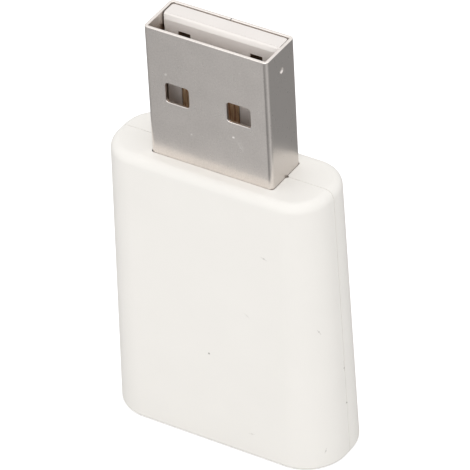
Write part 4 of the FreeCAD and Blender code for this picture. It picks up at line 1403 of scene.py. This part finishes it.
@dataclass
class PlugInside:
    """What stands inside the sleeve: the insulator with its tongue, and the four spring strips."""

    strips: tuple[tuple[str, str], ...] = (
        ("supply_strip", "supply_contact"), ("data_minus_strip", "data_minus_contact"),
        ("data_plus_strip", "data_plus_contact"), ("ground_strip", "ground_contact"),
    )
    strip_crease: float = 25.0
    # Where the tongue's front face lies, and how far the slope at its end runs up and back
    face: float = 0.11
    slope: float = 0.45

    def ease(self, tongue: Object) -> None:
        """Turns the rounded front edge of the tongue's end into a flat slope between the same two lines.

        A point past the slope's plane goes back to it along the plane's normal, (0, -1, 1) / sqrt 2.

        Args:
            tongue: The tongue's object.
        """
        mesh = tongue.data
        points = np.empty(3 * len(mesh.vertices))
        mesh.vertices.foreach_get("co", points)
        points = points.reshape(-1, 3)
        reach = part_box("usb_insulator")[1][2] - (self.face + self.slope) * MM
        past = np.maximum((points[:, 2] - points[:, 1] - reach) / 2, 0.0)
        points += past[:, None] * (0.0, 1.0, -1.0)
        mesh.vertices.foreach_set("co", points.ravel())
        mesh.update()
        mesh.set_sharp_from_angle(angle=math.radians(CREASE))

    def build(self, plastic: Material, gold: Material) -> None:
        """Builds and dresses the tongue and the strips.

        Args:
            plastic: The insulator's plastic.
            gold: The strips' plating.
        """
        tongue = smoothed_copy("plug_tongue", "usb_insulator")
        self.ease(tongue)
        dress(tongue, plastic)
        for name, node in self.strips:
            dress(smoothed_copy(name, node, self.strip_crease), gold)


@dataclass
class LightGuide:
    """The clear flanged pin that brings the lamp's light to the rear face."""

    pin: float = 1.0
    flange: float = 1.45
    soft: float = 0.06

    def build(self, material: Material) -> None:
        """Turns the pin about its own axis, with softened edges, between the ends that the frame gives.

        Args:
            material: The guide's clear plastic.
        """
        low, high = (np.array(corner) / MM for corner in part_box("light_guide"))
        across, inner, height = (low[0] + high[0]) / 2, low[1], (low[2] + high[2]) / 2
        face, shoulder = high[1], HousingShell.guide_shoulder
        skin = Skin("clear_guide")
        skin.ring([
            (0, inner), (self.flange, inner), (self.flange, shoulder), (self.pin, shoulder),
            (self.pin, face - self.soft), (self.pin - self.soft, face), (0, face),
        ], across, height)
        piece = skin.build()
        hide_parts("light_guide")
        dress(piece, material)


@dataclass(frozen=True)
class Lamp:
    """A square area lamp: its place and side in metres, and its power in watts."""

    name: str
    place: Point
    size: float
    power: float

    def build(self, aim: Point) -> None:
        """Makes the lamp.

        Args:
            aim: The point that it faces.
        """
        data = bpy.data.lights.new(self.name, "AREA")
        data.size, data.energy = self.size, self.power
        lamp = new_object(self.name, data)
        lamp.location = self.place
        lamp.rotation_euler = (Vector(aim) - Vector(self.place)).to_track_quat("-Z", "Y").to_euler()


@dataclass
class Studio:
    """A plain pale floor and soft light from large lamps and the sky, with lengths in metres."""

    floor_half: float = 0.6
    # A hair under the foot, so that the two faces don't fight
    floor_level: float = -0.00002
    floor_colour: Colour = (0.82, 0.815, 0.81)
    # What the camera sees on the floor besides the light that falls there
    floor_glow: float = 0.5
    white: Colour = (1.0, 1.0, 1.0)
    sky: float = 0.741
    # What bright metal mirrors from the floor: direction in degrees from +X, and tone
    tones: tuple[Pair, ...] = (
        (-180, 0.34), (-153, 0.42), (-124, 0.485), (-113, 0.62), (-103, 0.44), (-84, 0.21), (-62, 0.30),
        (-24, 0.60), (-5, 0.52), (25, 0.34), (57, 0.36), (150, 0.30), (180, 0.34),
    )
    lamps: tuple[Lamp, ...] = (
        Lamp("top_lamp", (0.0, 0.0, 0.7), 0.8, 1.69), Lamp("front_lamp", (0.22, -0.62, 0.27), 0.6, 1.12),
    )
    aim: Point = (0.0, 0.0, 0.02)

    def mirrored(self, graph: Graph) -> Socket:
        """The floor's glow in metal, whose tone turns with the direction from the stick.

        Args:
            graph: The floor's nodes.

        Returns:
            The glow.
        """
        direction = graph.math("ARCTAN2", graph.along("Y"), graph.along("X"))
        ramp = graph.add("ValToRGB", {"Fac": graph.span(direction, -math.pi, math.pi, 0.0, 1.0)})
        stops = ramp.color_ramp.elements
        for number, (degrees, tone) in enumerate(self.tones):
            share = (degrees + 180) / 360
            stop = stops[number] if number < 2 else stops.new(share)
            stop.position, stop.color = share, (tone, tone, tone, 1.0)
        return graph.add("Emission", {"Color": ramp.outputs["Color"], "Strength": 1.0}).outputs[0]

    def floor(self) -> None:
        """The floor, white to the camera and through glass, that keeps the object's shadow."""
        half, level = self.floor_half, self.floor_level
        corners = [(-half, -half, level), (half, -half, level), (half, half, level), (-half, half, level)]
        mesh = bpy.data.meshes.new("studio_floor")
        mesh.from_pydata(corners, [], [(0, 1, 2, 3)])
        floor = new_object("studio_floor", mesh)
        graph = Graph(bpy.data.materials.new("pale_floor"))
        lit = graph.add("BsdfDiffuse", {"Color": self.floor_colour}).outputs[0]
        glow = graph.add("Emission", {"Color": self.white, "Strength": self.floor_glow}).outputs[0]
        seen = graph.add("AddShader", {0: lit, 1: glow}).outputs[0]
        shown = lit
        path = graph.add("LightPath").outputs
        for kind, shader in (
            ("Is Camera Ray", seen), ("Is Glossy Ray", self.mirrored(graph)), ("Is Transmission Ray", seen),
        ):
            shown = graph.add("MixShader", {0: path[kind], 1: shown, 2: shader}).outputs[0]
        graph.add("OutputMaterial", {"Surface": shown})
        mesh.materials.append(graph.owner)

    def world(self) -> None:
        """A white sky, also in metal and through glass, and a dimmer one that lights the object."""
        graph = Graph(bpy.data.worlds.new("studio_sky"))
        path = graph.add("LightPath").outputs
        seen = path["Is Camera Ray"]
        for kind in ("Is Glossy Ray", "Is Transmission Ray"):
            seen = graph.math("MAXIMUM", seen, path[kind])
        level = graph.span(seen, 0.0, 1.0, self.sky, 1.0)
        glow = graph.add("Background", {"Color": self.white, "Strength": level})
        graph.add("OutputWorld", {"Surface": glow.outputs[0]})
        bpy.context.scene.world = graph.owner

    def build(self) -> None:
        """Makes the floor, the sky and the lamps."""
        self.floor()
        self.world()
        for lamp in self.lamps:
            lamp.build(self.aim)
        bpy.context.scene.view_settings.view_transform = "Standard"


# Finishes of the new pieces
WARM_WHITE = (0.895, 0.872, 0.831)
TONGUE_WHITE = (0.825, 0.78, 0.748)
# Painted shade on the downward round just above the foot
HOUSING_FINISH = Plastic("warm_white_plastic", WARM_WHITE, tone=0.006, zones=(
    Zone(tint(WARM_WHITE, 0.83), (Fade(Reading.HEIGHT, 0.32, 0.05),)),
))
# Half the sleeve's width and depth inside, and how far into the sheet the painted shade on the inside fades
# out
ROOM_ACROSS = PlugSleeve.half_width - PlugSleeve.sheet
ROOM_DEEP = PlugSleeve.half_depth - PlugSleeve.sheet
SHEET_FADE = 0.02
# The factor 0.81 on the narrow faces below is painted shade
STEEL_FINISH = SheetMetal("plated_steel", (0.81, 0.76, 0.72), roughness=0.29, narrow=0.81, zones=(
    # Painted shade inside the sleeve, below its tip
    Zone((0.55, 0.46, 0.39), (
        Fade(Reading.OFF_MIDDLE_ACROSS, ROOM_ACROSS + SHEET_FADE, ROOM_ACROSS),
        Fade(Reading.OFF_MIDDLE_DEEP, ROOM_DEEP + SHEET_FADE, ROOM_DEEP),
        Fade(Reading.HEIGHT, 40.0, 38.5),
    )),
))
# Painted highlight, paler along the front edge of its end, and painted shade, dark brown below its end, where
# the channels run in
TONGUE_FINISH = Plastic("white_tongue", TONGUE_WHITE, roughness=0.45, grain=0.06, relief=0.003, zones=(
    # Painted highlight along the front edge of the end
    Zone(tint(TONGUE_WHITE, 1.22), (Fade(Reading.DEPTH, 0.555, 0.44), Fade(Reading.HEIGHT, 38.7, 39.0))),
    # Painted shade below the end, where the channels run in
    Zone((0.20, 0.13, 0.09), (
        Fade(Reading.DEPTH, 0.14, 0.24), Fade(Reading.DEPTH, 1.25, 1.15), Fade(Reading.HEIGHT, 39.2, 39.18),
    )),
))
# Streaks along the strip, from brown to bright: the roughness and relief are a real grain, the brown and
# bright stripes of colour are painted reflection
STRIP_FINISH = Grained("gold_flash", ((0.58, 0.33, 0.19), (1.0, 0.76, 0.50)), (0.48, 0.32), grain=0.13,
                       relief=0.006, stretch=(1.0, 1.0, 18.0), rough_contrast=Contrast.CLEAR, metal=0.6)
GUIDE_FINISH = hazy("clear_pin", (0.93, 0.95, 0.96), 0.55)
# Finishes of the pieces that the CAD model itself shows, by the record's slot
INNER_FINISHES = {
    "board": Laminate("green_laminate", (0.03, 0.16, 0.08), (0.077, 0.324, 0.172)),
    "chip": Plastic(
        "black_package", (0.018, 0.018, 0.02), roughness=0.55, grain=0.05, relief=0.004, tone=0.1),
    "can_steel": SheetMetal("drawn_can_tin", (0.66, 0.65, 0.63), roughness=0.35),
    "crystal_lid": SheetMetal("plated_lid", (0.68, 0.62, 0.48), roughness=0.25),
    "aerial": Plastic("glazed_ceramic", (0.62, 0.66, 0.62), roughness=0.2, grain=0.05, tone=0.05),
    "ceramic": speckled("tan_ceramic", (0.42, 0.28, 0.15), (0.35, 0.45)),
    "resistor": speckled("black_glaze", (0.03, 0.03, 0.035), (0.25, 0.35)),
    "lamp": hazy("lamp_lens", (0.9, 0.86, 0.6), 0.85),
    "switch": Plastic("switch_moulding", (0.02, 0.02, 0.022), roughness=0.5, grain=0.06, tone=0.1),
    "switch_cover": SheetMetal("switch_sheet", (0.62, 0.61, 0.6), roughness=0.28),
}
# Specks on the housing in the photograph: pixel across and down, radius in millimetres and strength
HOUSING_SPECKS = (
    (209, 353.5, 0.12, 0.75), (263.8, 259, 0.09, 0.45), (247, 316, 0.10, 0.2), (252, 434, 0.10, 0.2),
    (319, 332, 0.09, 0.3), (326, 451, 0.09, 0.3), (346.5, 402.5, 0.12, 0.5), (344, 368, 0.11, 0.4),
)
# Fine strokes on the housing: both ends' pixels across and down, half width in millimetres and strength
HOUSING_STROKES = (
    (261.0, 257.5, 266.5, 261.0, 0.05, 0.22), (317.5, 330.5, 321.0, 334.5, 0.05, 0.2),
    (244.5, 313.5, 249.0, 318.0, 0.05, 0.12), (343.2, 361.0, 344.6, 370.5, 0.05, 0.2),
    (326.5, 448.5, 325.0, 453.0, 0.05, 0.2), (249.0, 433.5, 254.5, 434.5, 0.05, 0.12),
)
# Specks on the plug's front face: across and height in millimetres, radius and strength
STEEL_SPECKS = (
    (-4.02, 36.21, 0.15, 0.4), (3.32, 38.72, 0.09, 0.45), (-1.79, 30.82, 0.12, 0.5), (2.38, 31.92, 0.14, 0.8),
    (0.46, 30.66, 0.10, 0.4), (-1.2, 30.3, 0.08, 0.3),
)
# Scratches on the same face: both ends' across and height in millimetres, half width and strength
STEEL_SCRATCHES = (
    (2.85, 31.47, 3.30, 30.69, 0.03, 0.5), (2.98, 31.62, 3.42, 30.98, 0.025, 0.35),
    (2.62, 31.66, 3.0, 31.5, 0.03, 0.35),
)


def housing_marks(camera: ProductCamera, shell: Object) -> tuple[list[Mark], list[Mark]]:
    """Finds where the photograph's specks and strokes lie on a shell.

    Args:
        camera: The camera whose pixels place the marks.
        shell: The object that carries them.

    Returns:
        The specks and the strokes that meet the shell.
    """
    bpy.context.view_layer.update()
    specks, strokes = [], []
    for across, down, radius, depth in HOUSING_SPECKS:
        hit, place, _, _ = shell.ray_cast(*camera.ray(across, down))
        if hit:
            specks.append(Blemish(tuple(place), radius, depth))
    for *ends, width, depth in HOUSING_STROKES:
        first, start, _, _ = shell.ray_cast(*camera.ray(*ends[:2]))
        last, stop, _, _ = shell.ray_cast(*camera.ray(*ends[2:]))
        if first and last:
            strokes.append(Scratch(tuple(start), tuple(stop), width, depth))
    return specks, strokes


def steel_marks() -> list[Mark]:
    """Places the specks and scratches on the plug's front face.

    Returns:
        The marks.
    """
    face = -PlugSleeve.half_depth * MM
    specks = [Blemish((x * MM, face, z * MM), radius, depth) for x, z, radius, depth in STEEL_SPECKS]
    return specks + [
        Scratch((x * MM, face, z * MM), (to_x * MM, face, to_z * MM), width, depth)
        for x, z, to_x, to_z, width, depth in STEEL_SCRATCHES]


def dress_inner_pieces() -> None:
    """Gives every CAD node that still shows the finish of its record slot."""
    made = {slot: finish.make() for slot, finish in INNER_FINISHES.items()}
    for name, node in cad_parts.items():
        for place in node.material_slots:
            slot = place.material.name.split(".")[0] if place.material else ""
            if slot in made:
                place.material = made[slot]
                LOG.info("%s keeps its CAD shape, finished as %s", name, made[slot].name)


def main() -> None:
    """Builds the pieces in order and reports each one."""
    logging.basicConfig(level=logging.INFO, format="%(name)s %(message)s")
    camera = ProductCamera()
    camera.build()
    bare = HOUSING_FINISH.make()
    for name, node, side in (
        ("housing_front", "front_shell", Side.FRONT), ("housing_rear", "rear_shell", Side.REAR),
    ):
        piece = HousingShell(name, node, side).build(bare)
        piece.data.materials[0] = HOUSING_FINISH.make(*housing_marks(camera, piece))
    PlugSleeve().build(STEEL_FINISH.make(steel_marks()))
    PlugInside().build(TONGUE_FINISH.make(), STRIP_FINISH.make())
    LightGuide().build(GUIDE_FINISH.make())
    dress_inner_pieces()
    Studio().build()


if __name__ == "__main__":
    main()
